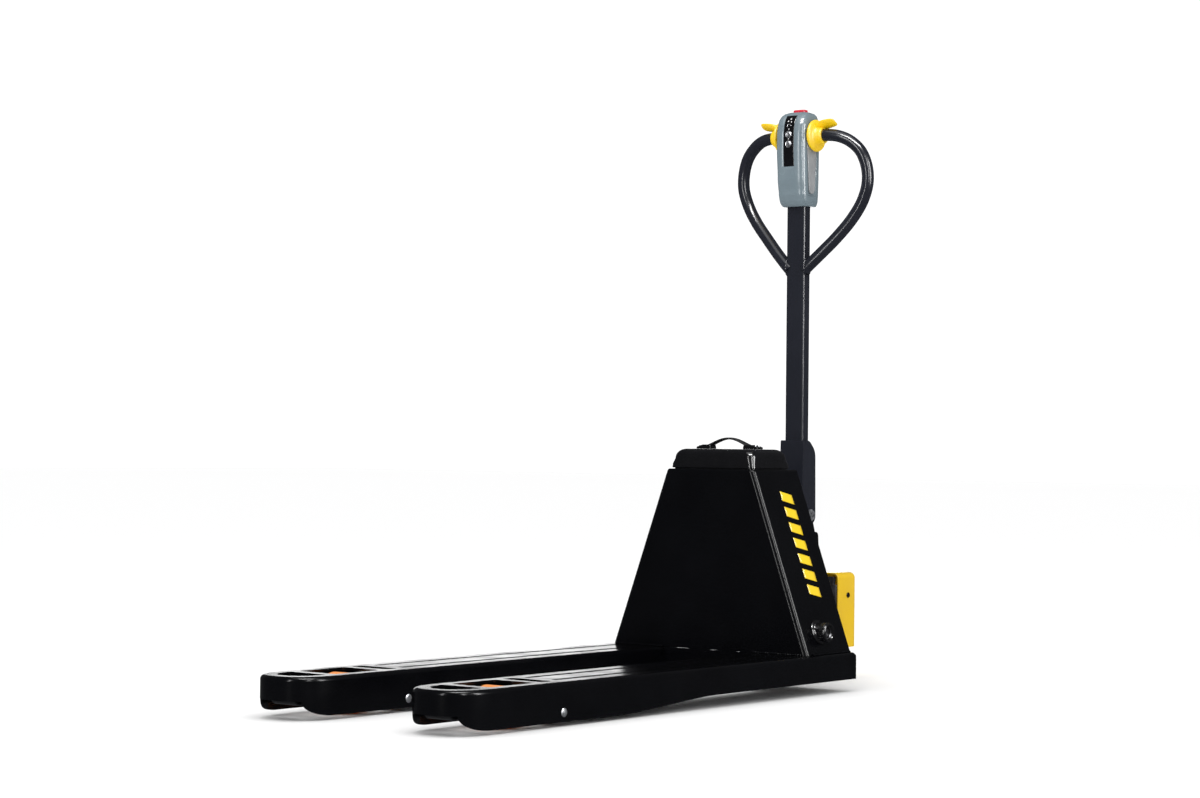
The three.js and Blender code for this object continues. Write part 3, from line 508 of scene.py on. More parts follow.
def canoe(y):
    """Cutter for a shallow pressed groove along a fork."""
    radius, depth = 26, 1.7
    start, end = FACE_X + 6, FACE_X + 832
    rings = []
    count = 60
    for i in range(count + 1):
        x = start + (end - start) * i / count
        from_end = min(x - start, end - x)
        sink = depth * min(1, max(0.0, from_end / 18)) ** 0.5 - 0.25
        rings.append([
            Vector((x * MM, (y + radius * cos(2 * pi * k / 48)) * MM,
                    (FORK_TOP + radius - sink + radius * sin(2 * pi * k / 48)) * MM))
            for k in range(48)
        ])
    return loft("cutter", rings, MATERIALS["chassis_paint"], None)


def make_arm_pins():
    """Pivot pins of the load arms, with domed ends."""
    for side, _ in SIDES:
        low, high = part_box(f"arm_pin_{side}")
        middle = centre_of(f"arm_pin_{side}")
        half = (high[1] - low[1]) / MM / 2
        dome = [(9.9 * cos(a), half - 2.6 + 2.6 * sin(a)) for a in [pi / 2 * k / 6 for k in range(7)]]
        profile = [(r, -along) for r, along in reversed(dome)] + [(9.9, -half + 4), (9.9, half - 4)] + dome
        pin = turned(f"arm_pin_head_{side}", profile, middle, (0, 1, 0), MATERIALS["zinc_steel"],
                     "lift_chassis", 40)
        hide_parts(f"arm_pin_{side}")


def make_tower():
    """Bent front and side sheet with a folded top edge round the battery mouth."""
    low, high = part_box("tower_shell")
    base, top = low[2] / MM, high[2] / MM
    rear = low[0] / MM
    half_base = high[1] / MM
    half_top = 120
    bend, wall = 14, 3.2

    def half_at(z):
        return half_base + (half_top - half_base) * (z - base) / (top - base)

    def ring(z, inset, steps=12):
        half = half_at(z) - inset
        radius = max(bend - inset, 3)
        front = FACE_X - inset
        points = [(rear, half)]
        for k in range(steps + 1):
            angle = pi / 2 * k / steps
            points.append((front - radius + radius * sin(angle), half - radius + radius * cos(angle)))
        mirrored = [(a, -b) for a, b in reversed(points)]
        return [Vector((a * MM, b * MM, z * MM)) for a, b in points + mirrored]

    outer = [ring(base + (top - 4 - base) * k / 24, 0) for k in range(25)]
    edge = [ring(top - 4 + 4 * sin(a), 4 * (1 - cos(a))) for a in [pi / 2 * k / 5 for k in range(1, 6)]]
    lip = [ring(top, inset) for inset in (6, 8.5)]
    rings = outer + edge + lip
    count = len(rings[0])
    faces = ring_faces(len(rings), count, closed=False, caps=False)
    verts = [p for r in rings for p in r]
    paint = MATERIALS["chassis_paint"]
    skin = new_mesh("tower_skin", verts, faces, paint, "lift_chassis", 40)
    thick = skin.modifiers.new("sheet", "SOLIDIFY")
    thick.thickness = wall * MM
    thick.offset = -1
    apply_modifiers(skin)
    soften(skin, 0.7, 2, 50)
    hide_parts("tower_shell")
    return half_at


def make_seams(half_at):
    """Weld beads where the tower stands on the forks and the cross member."""
    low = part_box("tower_shell")[0]
    z = low[2] / MM + 0.6
    front = FACE_X + 1.5
    inner = FORK_LOW[1] / MM
    runs = [[(front, sign * y) for y in (inner + 4, half_at(z) - 12)] for _, sign in SIDES]
    runs += [[(FACE_X - 20, sign * (half_at(z) + 1.2)), (low[0] / MM + 4, sign * (half_at(z) + 1.2))]
             for _, sign in SIDES]
    for number, ((x0, y0), (x1, y1)) in enumerate(runs):
        length = math.hypot(x1 - x0, y1 - y0)
        count = int(length / 1.6)
        path, radii = [], []
        for i in range(count + 1):
            t = i / count
            path.append((x0 + (x1 - x0) * t, y0 + (y1 - y0) * t, z + 0.8))
            radii.append(2.4 + 0.45 * sin(i * 1.55) + 0.25 * sin(i * 0.37))
        rings = []
        across = Vector((-(y1 - y0), x1 - x0, 0)).normalized()
        for (x, y, height), radius in zip(path, radii):
            rings.append([
                Vector((x, y, height)) * MM
                + (across * cos(2 * pi * k / 10) + Vector((0, 0, 1)) * sin(2 * pi * k / 10)) * radius * MM
                for k in range(10)
            ])
        loft(f"weld_bead_{number}", rings, MATERIALS["chassis_paint"], "lift_chassis", 60)


# ---------------------------------------------------------------- battery
def rounded_rect_ring(x0, x1, half, radius, z, steps=10):
    points = []
    for sx, sy, start in ((1, 1, 0), (-1, 1, 1), (-1, -1, 2), (1, -1, 3)):
        cx = (x1 if sx > 0 else x0) - sx * radius
        cy = sy * (half - radius)
        for k in range(steps + 1):
            angle = (start + k / steps) * pi / 2
            points.append(Vector(((cx + radius * cos(angle)) * MM, (cy + radius * sin(angle)) * MM, z * MM)))
    return points


def make_lid():
    """Battery case with a lid whose top edge rolls over in a wide radius."""
    low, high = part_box("battery_pack")
    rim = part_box("tower_shell")[1][2] / MM
    x0, x1 = low[0] / MM, high[0] / MM
    half, top = high[1] / MM, high[2] / MM
    rings = [
        rounded_rect_ring(x0 + 4, x1 - 6, half - 5, 10, low[2] / MM),
        rounded_rect_ring(x0 + 4, x1 - 6, half - 5, 10, rim - 1),
        rounded_rect_ring(x0 + 4, x1 - 6, half - 5, 10, rim + 2.2),
        rounded_rect_ring(x0 + 1, x1 - 1, half - 0.8, 13, rim + 2.4),
        rounded_rect_ring(x0, x1, half, 14, rim + 3.4),
        rounded_rect_ring(x0 + 0.6, x1 - 0.4, half - 1.2, 14, rim + 12),
    ]
    shoulder = top - 21
    for k in range(13):
        angle = pi / 2 * k / 12
        inset = 4 + 20 * (1 - cos(angle))
        z = shoulder + 21 * sin(angle)
        rings.append(rounded_rect_ring(x0 + inset * 0.9, x1 - inset * 0.8, half - inset, 18, z))
    rings.append(rounded_rect_ring(x0 + 45, x1 - 45, half - 60, 12, top))
    lid = loft("battery_lid", rings, MATERIALS["cover_plastic"], "battery", 40)
    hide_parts("battery_pack")


def make_strap():
    """Flexible carrying strap: an arched band held by a moulded foot at each end."""
    low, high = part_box("battery_strap")
    middle = centre_of("battery_strap")
    x, base, apex = middle.x / MM, low[2] / MM, high[2] / MM
    span = 60
    rings = []
    steps = 48
    for i in range(steps + 1):
        t = i / steps * 2 - 1
        y = span * t
        rise = cos(t * pi / 2) ** 1.25
        z = base + 5.5 + (apex - base - 8) * rise
        half = 9.5 + 1.5 * abs(t) ** 4
        thick = 2.3 + 0.5 * abs(t) ** 3
        slope = Vector((0, 1, -(apex - base - 8) / span * sin(t * pi / 2) * 1.25 * rise ** 0.2)).normalized()
        up = Vector((0, -slope.z, slope.y))
        ring = []
        for k in range(20):
            angle = 2 * pi * k / 20
            a = math.copysign(abs(cos(angle)) ** 0.5, cos(angle)) * half
            b = math.copysign(abs(sin(angle)) ** 0.7, sin(angle)) * thick
            ring.append(Vector((x + a, y, z)) * MM + up * b * MM)
        rings.append(ring)
    band = loft("carry_strap", rings, STRAP, "battery", 50)
    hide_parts("battery_strap")
    for side, sign in SIDES:
        outline = rounded_outline([
            (44, base, 0), (84, base, 1.5), (83, base + 4.5, 2), (66, base + 9.5, 4), (46, base + 9, 3)])
        foot = prism(f"strap_foot_{side}", [(sign * a, b) for a, b in outline], x - 12, x + 12, "yz",
                     MATERIALS["cover_plastic"], "battery", 40)
        soften(foot, 1.4, 3, 40)
        for dx in (-6.5, 6.5):
            turned(f"strap_screw_{side}_{'a' if dx < 0 else 'b'}",
                   [(0, 0), (2.8, 0), (2.8, 1.1), (2.2, 1.8), (1.1, 1.8), (1.0, 0.9), (0, 0.9)],
                   ((x + dx) * MM, sign * 76 * MM, (base + 6.1) * MM), (0, sign * 0.25, 1),
                   MATERIALS["zinc_steel"], "battery", 24)


# ---------------------------------------------------------------- key switch and decal
def lean_frame(half_at, z):
    """Point of the left side plate at height z, with its outward and its upward direction."""
    slope = (half_at(z + 10) - half_at(z)) / 10
    upward = Vector((0, slope, 1)).normalized()
    outward = Vector((0, upward.z, -upward.y))
    return Vector((0, half_at(z), z)), outward, upward


def make_key_switch(half_at):
    """Key switch: flange, ribbed collar, bezel and a barrel with its key slot."""
    middle = centre_of("key_switch_barrel")
    x, z = middle.x / MM, middle.z / MM
    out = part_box("key_switch_housing")[1][1] / MM
    place, outward, _ = lean_frame(half_at, z)
    base = Vector((x, place.y, z)) * MM
    dark, zinc = MATERIALS["cover_plastic"], KEY_STEEL
    flange = turned("key_flange",
                    [(0, 0.2), (27, 0.2), (27.6, 1.4), (26.6, 3.0), (23.5, 4.6), (21.4, 7), (0, 7)],
                    base, outward, dark, "lift_chassis")
    collar = [
        (20.6, place.y - out + 1), (20.8, -9), (20.6, -2.2), (19.6, -0.6), (18.2, 0), (16.2, -0.6),
        (13.8, -5.5), (11.6, -6.8), (11.4, -14), (0, -14),
    ]
    turned("key_collar", collar, (x * MM, out * MM, z * MM), (0, 1, 0), dark, "lift_chassis")
    ridge = [(0, -7), (0.9, -6.4), (1.0, 0), (0.9, 6.4), (0, 7)]
    for k in range(24):
        angle = 2 * pi * k / 24
        ridge_at = Vector((x + 20.6 * cos(angle), out - 12, z + 20.6 * sin(angle))) * MM
        turned(f"key_ridge_{k:02d}", ridge, ridge_at, (0, 1, 0), dark, "lift_chassis", 10)
    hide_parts("key_switch_housing")
    turned("key_bezel", [(11.3, -9), (15.6, -6.2), (16.4, -5.0), (15.2, -4.4), (12.2, -6.4), (11.3, -9)],
           (x * MM, out * MM, z * MM), (0, 1, 0), zinc, "lift_chassis")
    barrel = turned("key_barrel_face",
                    [(0, -31), (10.9, -31), (10.9, -8.6), (10.2, -7.8), (3.4, -7.8), (3.1, -8.4), (0, -8.4)],
                    (x * MM, out * MM, z * MM), (0, 1, 0), zinc, "key")
    notch = prism("cutter", [(x - 1.1, z - 6.5), (x + 1.1, z - 6.5), (x + 1.1, z + 6.5), (x - 1.1, z + 6.5)],
                  out - 12, out - 5, "xz", zinc, None)
    cut(barrel, notch)
    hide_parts("key_switch_barrel")


def make_decal(half_at):
    """Plain slanted bars along the rear of the left side plate."""
    low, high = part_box("tower_shell")
    rear, top = low[0] / MM, high[2] / MM
    start, end, bars = top - 279, top - 43, 7
    pitch = (end - start) / bars
    width = 42
    left_edge = rear + 50
    for k in range(bars):
        z0 = start + k * pitch
        z1 = z0 + pitch * 0.62
        corners = [(left_edge, z0), (left_edge + width, z0 + 9), (left_edge + width, z1 + 9), (left_edge, z1)]
        verts, steps = [], 6
        for row in range(steps + 1):
            for column in range(steps + 1):
                u, v = column / steps, row / steps
                x = corners[0][0] + (corners[1][0] - corners[0][0]) * u
                z = (corners[0][1] * (1 - u) + corners[1][1] * u) * (1 - v)
                z += (corners[3][1] * (1 - u) + corners[2][1] * u) * v
                place, outward, _ = lean_frame(half_at, z)
                verts.append((Vector((x, place.y, z)) + outward * 0.12) * MM)
        faces = grid_faces(steps, steps)
        bar = new_mesh(f"side_stripe_{k}", verts, faces, DECAL, "lift_chassis")
        film = bar.modifiers.new("film", "SOLIDIFY")
        film.thickness = 0.1 * MM
        film.offset = 1


# ---------------------------------------------------------------- wheels
def make_wheels():
    for side, _ in SIDES:
        middle = centre_of(f"load_tyre_{side}")
        low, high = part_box(f"load_tyre_{side}")
        radius, half = (high[2] - low[2]) / MM / 2, (high[1] - low[1]) / MM / 2
        crown = [(radius, along) for along in (-half + 6, 0, half - 6)]
        shoulder = [
            (radius - 4 * (1 - cos(a)), half - 6 + 5 * sin(a))
            for a in [pi / 2 * k / 5 for k in range(1, 6)]
        ]
        mirrored = [(r, -along) for r, along in reversed(shoulder)]
        profile = [(28.3, -half)] + mirrored + crown + shoulder + [(28.3, half), (28.3, -half)]
        tyre = turned(f"load_roller_{side}", profile, middle, (0, 1, 0), MATERIALS["load_urethane"],
                      f"load_wheel_{side}", 80)
        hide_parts(f"load_tyre_{side}")
    middle = centre_of("drive_tyre")
    low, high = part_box("drive_tyre")
    radius, half = (high[0] - low[0]) / MM / 2, (high[1] - low[1]) / MM / 2
    profile = [(88.3, -half), (96, -half), (100, -half + 1), (radius - 1, -half + 6), (radius, -half + 10)]
    profile += [
        (radius, half - 10), (radius - 1, half - 6), (100, half - 1), (96, half), (88.3, half), (88.3, -half),
    ]
    tyre = turned("drive_tread", profile, middle, (0, 1, 0), MATERIALS["drive_rubber"], "drive_wheel",
                  120)
    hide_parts("drive_tyre")


# ---------------------------------------------------------------- tiller
LOOP_RADIUS = 14
LOOP_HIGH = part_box("handle_loop_left")[1]


def make_loop():
    """Heart-shaped loop of bent tube, one half on each side, welded low on the tiller tube."""
    grip_z = LOOP_HIGH[2] / MM - LOOP_RADIUS
    ahead = centre_of("tiller_tube").x / MM
    for side, sign in SIDES:
        points = [
            (ahead, 42, grip_z), (ahead, 60, grip_z), (ahead - 0.6, 80, grip_z), (ahead - 5, 106, grip_z - 4),
            (ahead - 12, 132, grip_z - 16), (ahead - 18, 157, grip_z - 40), (ahead - 22, 171, grip_z - 74),
            (ahead - 24, 173, grip_z - 112), (ahead - 25, 160, grip_z - 152), (ahead - 22, 134, grip_z - 193),
            (ahead - 15, 96, grip_z - 236), (ahead - 5, 60, grip_z - 272), (ahead + 2, 29, grip_z - 301),
            (ahead + 3, 20, grip_z - 309),
        ]
        path = smooth_path([(x * MM, sign * y * MM, z * MM) for x, y, z in points], 14)
        loop = tube(f"grip_loop_{side}", path, LOOP_RADIUS, MATERIALS["tiller_paint"],
                    "tiller", 36)
        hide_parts(f"handle_loop_{side}")
        weld_z = grip_z - 303
        around = []
        for k in range(60):
            angle = 2 * pi * k / 60
            around.append(Vector((ahead + 2 + 14.5 * cos(angle), sign * 25.4, weld_z + 20 * sin(angle))) * MM)
        rings = []
        for k, spot in enumerate(around):
            out = (spot - Vector(((ahead + 2) * MM, spot.y, weld_z * MM))).normalized()
            size = (2.2 + 0.35 * sin(k * 2.1)) * MM
            rings.append([spot + (out * cos(a) + Vector((0, sign, 0)) * sin(a)) * size
                          for a in [2 * pi * j / 8 for j in range(8)]])
        rings.append(rings[0])
        loft(f"loop_weld_{side}", rings, MATERIALS["tiller_paint"], "tiller", 60, caps=False)


def superellipse_ring(x0, x1, half, z, power, count):
    """Level ring between x0 and x1 whose corners get squarer with power."""
    cx, rx = (x0 + x1) / 2, (x1 - x0) / 2
    ring = []
    for k in range(count):
        angle = 2 * pi * k / count
        a = math.copysign(abs(cos(angle)) ** (2 / power), cos(angle)) * rx
        b = math.copysign(abs(sin(angle)) ** (2 / power), sin(angle)) * half
        ring.append(Vector((cx + a, b, z)))
    return ring


HEAD_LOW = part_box("head_rear_cover")[0]
HEAD_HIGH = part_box("head_front_cover")[1]
HEAD_POWER = 4.2  # squareness of the head's plan


def head_section(t):
    """Rear x, front x and half width of the head at t from its bottom (0) to its top (1)."""
    rear, front = HEAD_LOW[0] / MM, HEAD_HIGH[0] / MM
    half = HEAD_HIGH[1] / MM
    stops = [
        (0.000, 6, -21, 0.83), (0.02, 3.5, -16, 0.885), (0.05, 1.5, -12, 0.925), (0.12, 0.6, -8, 0.95),
        (0.30, 0, -3.5, 0.975), (0.60, 0, 0, 0.995), (0.78, 0, -0.6, 1.0), (0.86, 0.6, -3.2, 0.985),
        (0.92, 2.6, -8.5, 0.95), (0.96, 6, -15.5, 0.88), (0.985, 10.5, -23, 0.76), (1.0, 17, -32, 0.55),
    ]
    for (t0, r0, f0, w0), (t1, r1, f1, w1) in zip(stops, stops[1:]):
        if t <= t1:
            k = (t - t0) / (t1 - t0)
            k = k * k * (3 - 2 * k) if t1 - t0 > 0.1 else k
            return rear + r0 + (r1 - r0) * k, front + f0 + (f1 - f0) * k, half * (w0 + (w1 - w0) * k)
    raise ValueError(t)


def make_head():
    """Control head: one shell with side recesses and a sunk panel bay in front."""
    low, high = HEAD_LOW[2] / MM, HEAD_HIGH[2] / MM
    levels = [0, 0.004, 0.01] + [0.02 + 0.965 * k / 88 for k in range(89)] + [0.99, 0.995, 1.0]
    rings = []
    for t in levels:
        z = low + (high - low) * t
        rear, front, half = head_section(t)
        ring = superellipse_ring(rear, front, half, z, HEAD_POWER, 128)
        for point in ring:
            point.x -= panel_bay(point, z)
            point.y -= math.copysign(side_recess(point, z), point.y)
        rings.append([p * MM for p in ring])
    head = loft("head_shell", rings, MATERIALS["head_plastic"], "tiller", 60)
    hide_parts("head_front_cover", "head_rear_cover")


def make_inlays():
    """Silver inlay that tapers down each side of the head."""
    grey = moulded("inlay_grey", (0.27, 0.28, 0.29), (0.36, 0.37, 0.38), 0.22, 700, 0.004)
    middle = HEAD_HIGH[0] / MM - 40
    bottom, top = HEAD_LOW[2] / MM + 29, HEAD_HIGH[2] / MM - 58
    for side, sign in SIDES:
        outline = rounded_outline([
            (middle + 21, top, 4), (middle - 21, top, 4), (middle - 12, bottom, 9), (middle + 8, bottom, 9)])
        face = sign * (HEAD_HIGH[1] / MM - 1.6)
        low, high = sorted((face - sign * 3.0, face))
        inlay = prism(f"head_inlay_{side}", outline, low, high, "xz", grey, "tiller")
        soften(inlay, 0.8)


def soft_step(value, edge, width):
    """0 well below the edge, 1 well above it, and smooth between."""
    k = min(1, max(0, (value - edge) / width + 0.5))
    return k * k * (3 - 2 * k)


PANEL_LOW, PANEL_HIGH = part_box("display_panel")


def panel_bay(point, z):
    """Depth of the bay that the display panel sits in."""
    inside = min(16.5 - abs(point.y), z - (PANEL_LOW[2] / MM - 2), PANEL_HIGH[2] / MM + 3 - z)
    facing = point.x > centre_of("tiller_tube").x / MM + 12
    return 2.2 * soft_step(inside, 0, 1.6) if facing else 0


def side_recess(point, z):
    """Depth of the tapering recess under the throttle on each side of the head."""
    low, high = HEAD_LOW[2] / MM + 23, HEAD_HIGH[2] / MM - 46
    t = (z - low) / (high - low)
    middle = HEAD_HIGH[0] / MM - 42 + 2 * t
    half = 13 + 12 * t
    inside = min(half - abs(point.x - middle), z - low, high - z)
    return 3.4 * soft_step(inside, 0, 2.0) if abs(point.y) > 20 else 0


def front_x(z, y=0):
    """Where the head's front face is at height z, y off the middle."""
    low, high = HEAD_LOW[2] / MM, HEAD_HIGH[2] / MM
    rear, front, half = head_section((z - low) / (high - low))
    rx = (front - rear) / 2
    return (rear + front) / 2 + rx * max(0, 1 - (abs(y) / half) ** HEAD_POWER) ** (1 / HEAD_POWER)


def make_panel():
    """Glossy display panel that follows the head's front, with its marks and buttons."""
    bottom, top = PANEL_LOW[2] / MM, PANEL_HIGH[2] / MM
    half, rows, columns = 14.3, 60, 24
    verts = []
    for r in range(rows + 1):
        z = bottom + (top - bottom) * r / rows
        for c in range(columns + 1):
            y = -half + 2 * half * c / columns
            edge = min(half - abs(y), z - bottom, top - z)
            verts.append(Vector((front_x(z, y) - 1.5 - 0.5 * (1 - soft_step(edge, 0.4, 1.0)), y, z)) * MM)
    faces = grid_faces(rows, columns)
    panel = new_mesh("display_lens", verts, faces, MATERIALS["panel_gloss"], "tiller", 60)
    thick = panel.modifiers.new("lens", "SOLIDIFY")
    thick.thickness = 1.2 * MM
    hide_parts("display_panel")
    for name in ("raise_button", "lower_button", "horn_button"):
        low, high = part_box(name)
        z = (low[2] + high[2]) / 2 / MM
        radius = (high[2] - low[2]) / MM / 2
        face = high[0] / MM
        metal = MATERIALS["zinc_steel"] if name != "horn_button" else MATERIALS["cover_plastic"]
        profile = [(0, -14), (radius, -14), (radius, -1.8), (radius - 0.4, -0.9), (radius - 1.2, -0.4),
                   (radius * 0.55, -0.5), (radius * 0.3, -0.75), (0, -0.85)]
        cap = turned(f"{name}_cap", profile, (face * MM, 0, z * MM), (1, 0, 0), metal, name, 48)
        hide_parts(name)
        ring = [(radius + a, b) for a, b in ((0.6, -2.2), (1.9, -1.6), (1.6, -0.9), (0.6, -1.2), (0.6, -2.2))]
        turned(f"{name}_ring", ring, ((front_x(z) - 0.2) * MM, 0, z * MM), (1, 0, 0),
               MATERIALS["zinc_steel"], "tiller", 48)
    # name, distance below the panel's top, y, number of sides
    marks = [("mark_up", 32.5, 0, 3), ("mark_down", 55.5, 0, 3), ("mark_level", 16, 4.5, 4),
             ("mark_horn", 14, -4.5, 5), ("mark_status", 9, 2, 8)]
    for name, below, y, sides in marks:
        icon(name, top - below, y, sides)


def icon(name, z, y, sides):
    """A small plain mark: a flat regular shape with that many sides."""
    slope = (front_x(z + 1) - front_x(z - 1)) / 2
    upward = Vector((slope, 0, 1)).normalized()
    outward = Vector((upward.z, 0, -upward.x))
    centre = Vector((front_x(z, y) - 1.5, y, z))
    rings = []
    for depth, size in ((0.0, 1.9), (0.35, 1.9), (0.42, 1.7)):
        rings.append([
            (centre + outward * depth + Vector((0, 1, 0)) * size * sin(2 * pi * k / sides)
             + upward * size * cos(2 * pi * k / sides)) * MM
            for k in range(sides)
        ])
    loft(name, rings, ICON, "tiller")


def make_belly_button():
    """Red stop button with a rounded top edge."""
    low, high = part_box("belly_button")
    x0, x1 = low[0] / MM, high[0] / MM
    half, bottom, top = high[1] / MM, low[2] / MM, high[2] / MM
    rings = [rounded_rect_ring(x0, x1, half, 5, bottom), rounded_rect_ring(x0, x1, half, 5, top - 3)]
    for k in range(1, 7):
        angle = pi / 2 * k / 6
        inset = 3 * (1 - cos(angle))
        rings.append(rounded_rect_ring(x0 + inset, x1 - inset, half - inset, 4, top - 3 + 3 * sin(angle)))
    button = loft("stop_button", rings, MATERIALS["stop_red"], "belly_button", 40)
    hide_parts("belly_button")


def make_throttle():
    """Butterfly throttle: on each side a cup, a sleeve on the loop tube and a thumb wing."""
    x = centre_of("tiller_tube").x / MM
    z = LOOP_HIGH[2] / MM - LOOP_RADIUS
    yellow = MATERIALS["throttle_plastic"]
    for side, sign in SIDES:
        profile = [(14.5, 42.5), (32.5, 42.5), (35.4, 43.4), (36.8, 45.2), (37, 47.4), (36, 49.8), (33, 51.4),
                   (28, 52.4), (24.5, 54), (22, 56.6), (20.6, 60), (20, 65), (19.4, 68), (18.4, 69.5),
                   (16.6, 70), (14.5, 69.8), (14.5, 42.5)]
        hub = turned(f"throttle_hub_{side}", [(r, sign * along) for r, along in profile],
                     (x * MM, 0, z * MM), (0, 1, 0), yellow, "throttle", 96, 50)
        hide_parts(f"throttle_{side}")
        wing(side, sign, x, z, yellow)


def wing(side, sign, x, z, yellow):
    """Thumb wing: a flared, slightly dished blade that grows out of the hub."""
    # distance out, half width, height, half thickness, shift ahead
    stations = [
        (46, 14.0, 20, 12.0, 0.0), (52, 15.0, 23, 10.5, 0.6), (59, 16.4, 26.5, 7.6, 1.6),
        (66, 17.2, 29.2, 5.8, 2.6), (74, 17.0, 31.2, 4.9, 3.6), (83, 16.0, 32.6, 4.5, 4.2),
        (92, 15.0, 33.8, 4.3, 4.6), (98, 13.6, 34.4, 3.8, 4.8),
        (101, 10.5, 34.8, 2.6, 4.8), (102, 5.5, 34.9, 1.0, 4.8),
    ]
    tilt = 0.5
    rings = []
    for y, half, height, thick, forward in stations:
        ring = []
        for k in range(28):
            angle = 2 * pi * k / 28
            a = math.copysign(abs(cos(angle)) ** 0.75, cos(angle)) * half
            b = sin(angle) * thick - 1.6 * (1 - (a / half) ** 2) * (1 if thick < 7 else 0)
            ring.append(Vector((x + forward - 2 + a * cos(tilt) - b * sin(tilt), sign * y,
                                z + height - 6 + a * sin(tilt) + b * cos(tilt))) * MM)
        rings.append(ring)
    blade = loft(f"throttle_wing_{side}", rings, yellow, "throttle", 60)
    sub = blade.modifiers.new("smooth", "SUBSURF")
    sub.levels = sub.render_levels = 1


# ---------------------------------------------------------------- hood
def make_hood():
    """Folded sheet hood over the drive wheel."""
    low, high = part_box("drive_hood")
    x0, x1 = low[0] / MM, high[0] / MM
    half, bottom, top = high[1] / MM, low[2] / MM, high[2] / MM
    bend, wall = 13, 3.0

    def arch(inset, x):
        radius = bend - inset
        points = [(half - inset, bottom)]
        for k in range(13):
            angle = pi / 2 * k / 12
            points.append((half - bend + radius * cos(angle), top - bend + radius * sin(angle)))
        both = points + [(-a, b) for a, b in reversed(points)]
        return [Vector((x, a, b)) * MM for a, b in both]

    rear_bend = 11
    rings = [arch(0, x1), arch(0, (x0 + x1) / 2), arch(0, x0 + rear_bend)]
    for k in range(1, 9):
        angle = pi / 2 * k / 8
        rings.append(arch(rear_bend * (1 - cos(angle)), x0 + rear_bend - rear_bend * sin(angle)))
    count = len(rings[0])
    verts = [p for ring in rings for p in ring]
    faces = ring_faces(len(rings), count, closed=False, caps=False)
    faces.append(tuple(range((len(rings) - 1) * count, len(rings) * count)))
    hood = new_mesh("wheel_hood", verts, faces, MATERIALS["hood_paint"], "steering", 40)
    thick = hood.modifiers.new("sheet", "SOLIDIFY")
    thick.thickness = wall * MM
    thick.offset = -1
    apply_modifiers(hood)
    soften(hood, 0.8, 2, 50)
    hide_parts("drive_hood")
    for side, sign in SIDES:
        spot = centre_of(f"hood_screw_{side}")
        profile = [
            (0, -13), (3.2, -13), (3.2, -1), (6.2, -0.8), (6.4, 0.6),
            (5.4, 1.9), (2.6, 2.2), (2.4, 0.6), (0, 0.6),
        ]
        screw = turned(f"hood_bolt_{side}", profile, (spot.x, sign * (half + 0.2) * MM, spot.z), (0, sign, 0),
                       MATERIALS["cover_plastic"], "steering", 36)
        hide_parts(f"hood_screw_{side}")


# ---------------------------------------------------------------- studio
def make_studio():
    reach = 30
    corners = [(-reach, -reach, 0), (reach, -reach, 0), (reach, reach, 0), (-reach, reach, 0)]
    floor = new_mesh("studio_floor", corners, [(0, 1, 2, 3)],
                     material("floor_white", (0.93, 0.93, 0.93), 0.9, specular=0.1), None)
    floor.visible_glossy = False  # keeps the paint black where it would mirror the floor
    floor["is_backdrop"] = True
    make_world()
    # name, place, what it points at, width, height, power
    softbox("overhead", (0.3, 0.2, 3.4), (0.1, 0.0, 0.3), 2.6, 1.6, 26, False)
    softbox("top_strip", (0.7, 1.0, 3.2), (-0.35, 0.0, 1.1), 1.8, 0.4, 150)
    softbox("right_side", (-0.6, 3.6, 1.7), (-0.5, 0.0, 0.8), 0.7, 2.4, 150)
    softbox("corner_strip", (1.5, 3.3, 1.9), (-0.35, 0.1, 0.7), 0.4, 2.2, 80)
    softbox("left_side", (3.6, 0.1, 1.5), (-0.4, 0.0, 0.7), 0.35, 2.4, 60)
    softbox("behind", (-4.4, -3.6, 0.42), (0.2, 0.1, 0.3), 3.4, 0.62, 20)
    bpy.context.scene.view_settings.view_transform = "Standard"


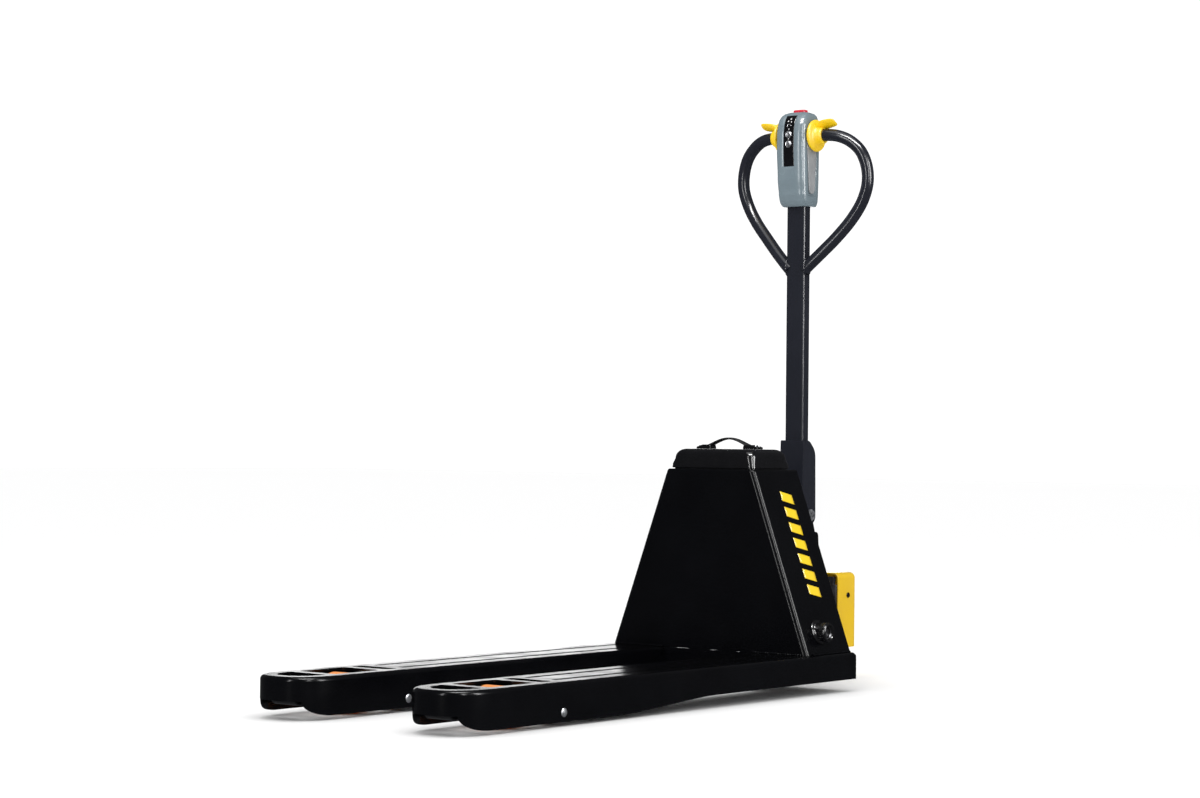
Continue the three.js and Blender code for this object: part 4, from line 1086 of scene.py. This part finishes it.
def make_world():
    """White surroundings for eye and floor, dim ones in gloss, so that black paint stays black."""
    world = bpy.data.worlds.new("studio")
    bpy.context.scene.world = world
    world.use_nodes = True
    tree = world.node_tree
    tree.nodes.clear()
    output = tree.nodes.new("ShaderNodeOutputWorld")
    white, dim = tree.nodes.new("ShaderNodeBackground"), tree.nodes.new("ShaderNodeBackground")
    white.inputs["Color"].default_value = (1, 1, 1, 1)
    white.inputs["Strength"].default_value = 1.12
    dim.inputs["Color"].default_value = (0.93, 0.95, 1, 1)
    dim.inputs["Strength"].default_value = 0.1
    ray = tree.nodes.new("ShaderNodeLightPath")
    mix = tree.nodes.new("ShaderNodeMixShader")
    tree.links.new(ray.outputs["Is Glossy Ray"], mix.inputs["Fac"])
    tree.links.new(white.outputs["Background"], mix.inputs[1])
    tree.links.new(dim.outputs["Background"], mix.inputs[2])
    tree.links.new(mix.outputs["Shader"], output.inputs["Surface"])


def softbox(name, place, target, width, height, power, gloss_only=True):
    """Rectangular light; the ones that only draw highlights leave the matt surfaces alone."""
    light = bpy.data.lights.new(name, "AREA")
    light.shape = "RECTANGLE"
    light.size = width
    light.size_y = height
    light.energy = power
    lamp = bpy.data.objects.new(name, light)
    lamp.location = place
    aim = Vector(target) - Vector(place)
    lamp.rotation_euler = aim.to_track_quat("-Z", "Y").to_euler()
    lamp.visible_camera = False
    lamp.visible_diffuse = not gloss_only
    bpy.context.scene.collection.objects.link(lamp)


def make_camera():
    """Low three-quarter view of the key switch side, from beyond the fork tips."""
    yaw, pitch, roll = math.radians(218.26), math.radians(0.84), math.radians(0.59)
    ahead = Vector((cos(pitch) * cos(yaw), cos(pitch) * sin(yaw), sin(pitch)))
    right = ahead.cross(Vector((0, 0, 1))).normalized()
    upward = right.cross(ahead)
    side = right * cos(roll) + upward * sin(roll)
    top = upward * cos(roll) - right * sin(roll)
    lens = bpy.data.cameras.new("camera")
    lens.sensor_width = 36
    lens.lens = 81.42
    lens.clip_end = 100
    camera = bpy.data.objects.new("camera", lens)
    turn = Matrix((side, top, -ahead)).transposed()
    camera.matrix_world = Matrix.Translation((FACE_X * MM + 4.8835, 3.5415, 0.55)) @ turn.to_4x4()
    bpy.context.scene.collection.objects.link(camera)
    bpy.context.scene.camera = camera


make_camera()
for side, sign in SIDES:
    make_fork(side, sign)
make_arm_pins()
half_at = make_tower()
make_seams(half_at)
make_lid()
make_strap()
make_key_switch(half_at)
make_decal(half_at)
make_wheels()
make_loop()
make_head()
make_inlays()
make_panel()
make_belly_button()
make_throttle()
make_hood()
make_studio()

both = {"cad": cad_box, "visual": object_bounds()}
{name: [list(corner) for corner in box] for name, box in both.items()}
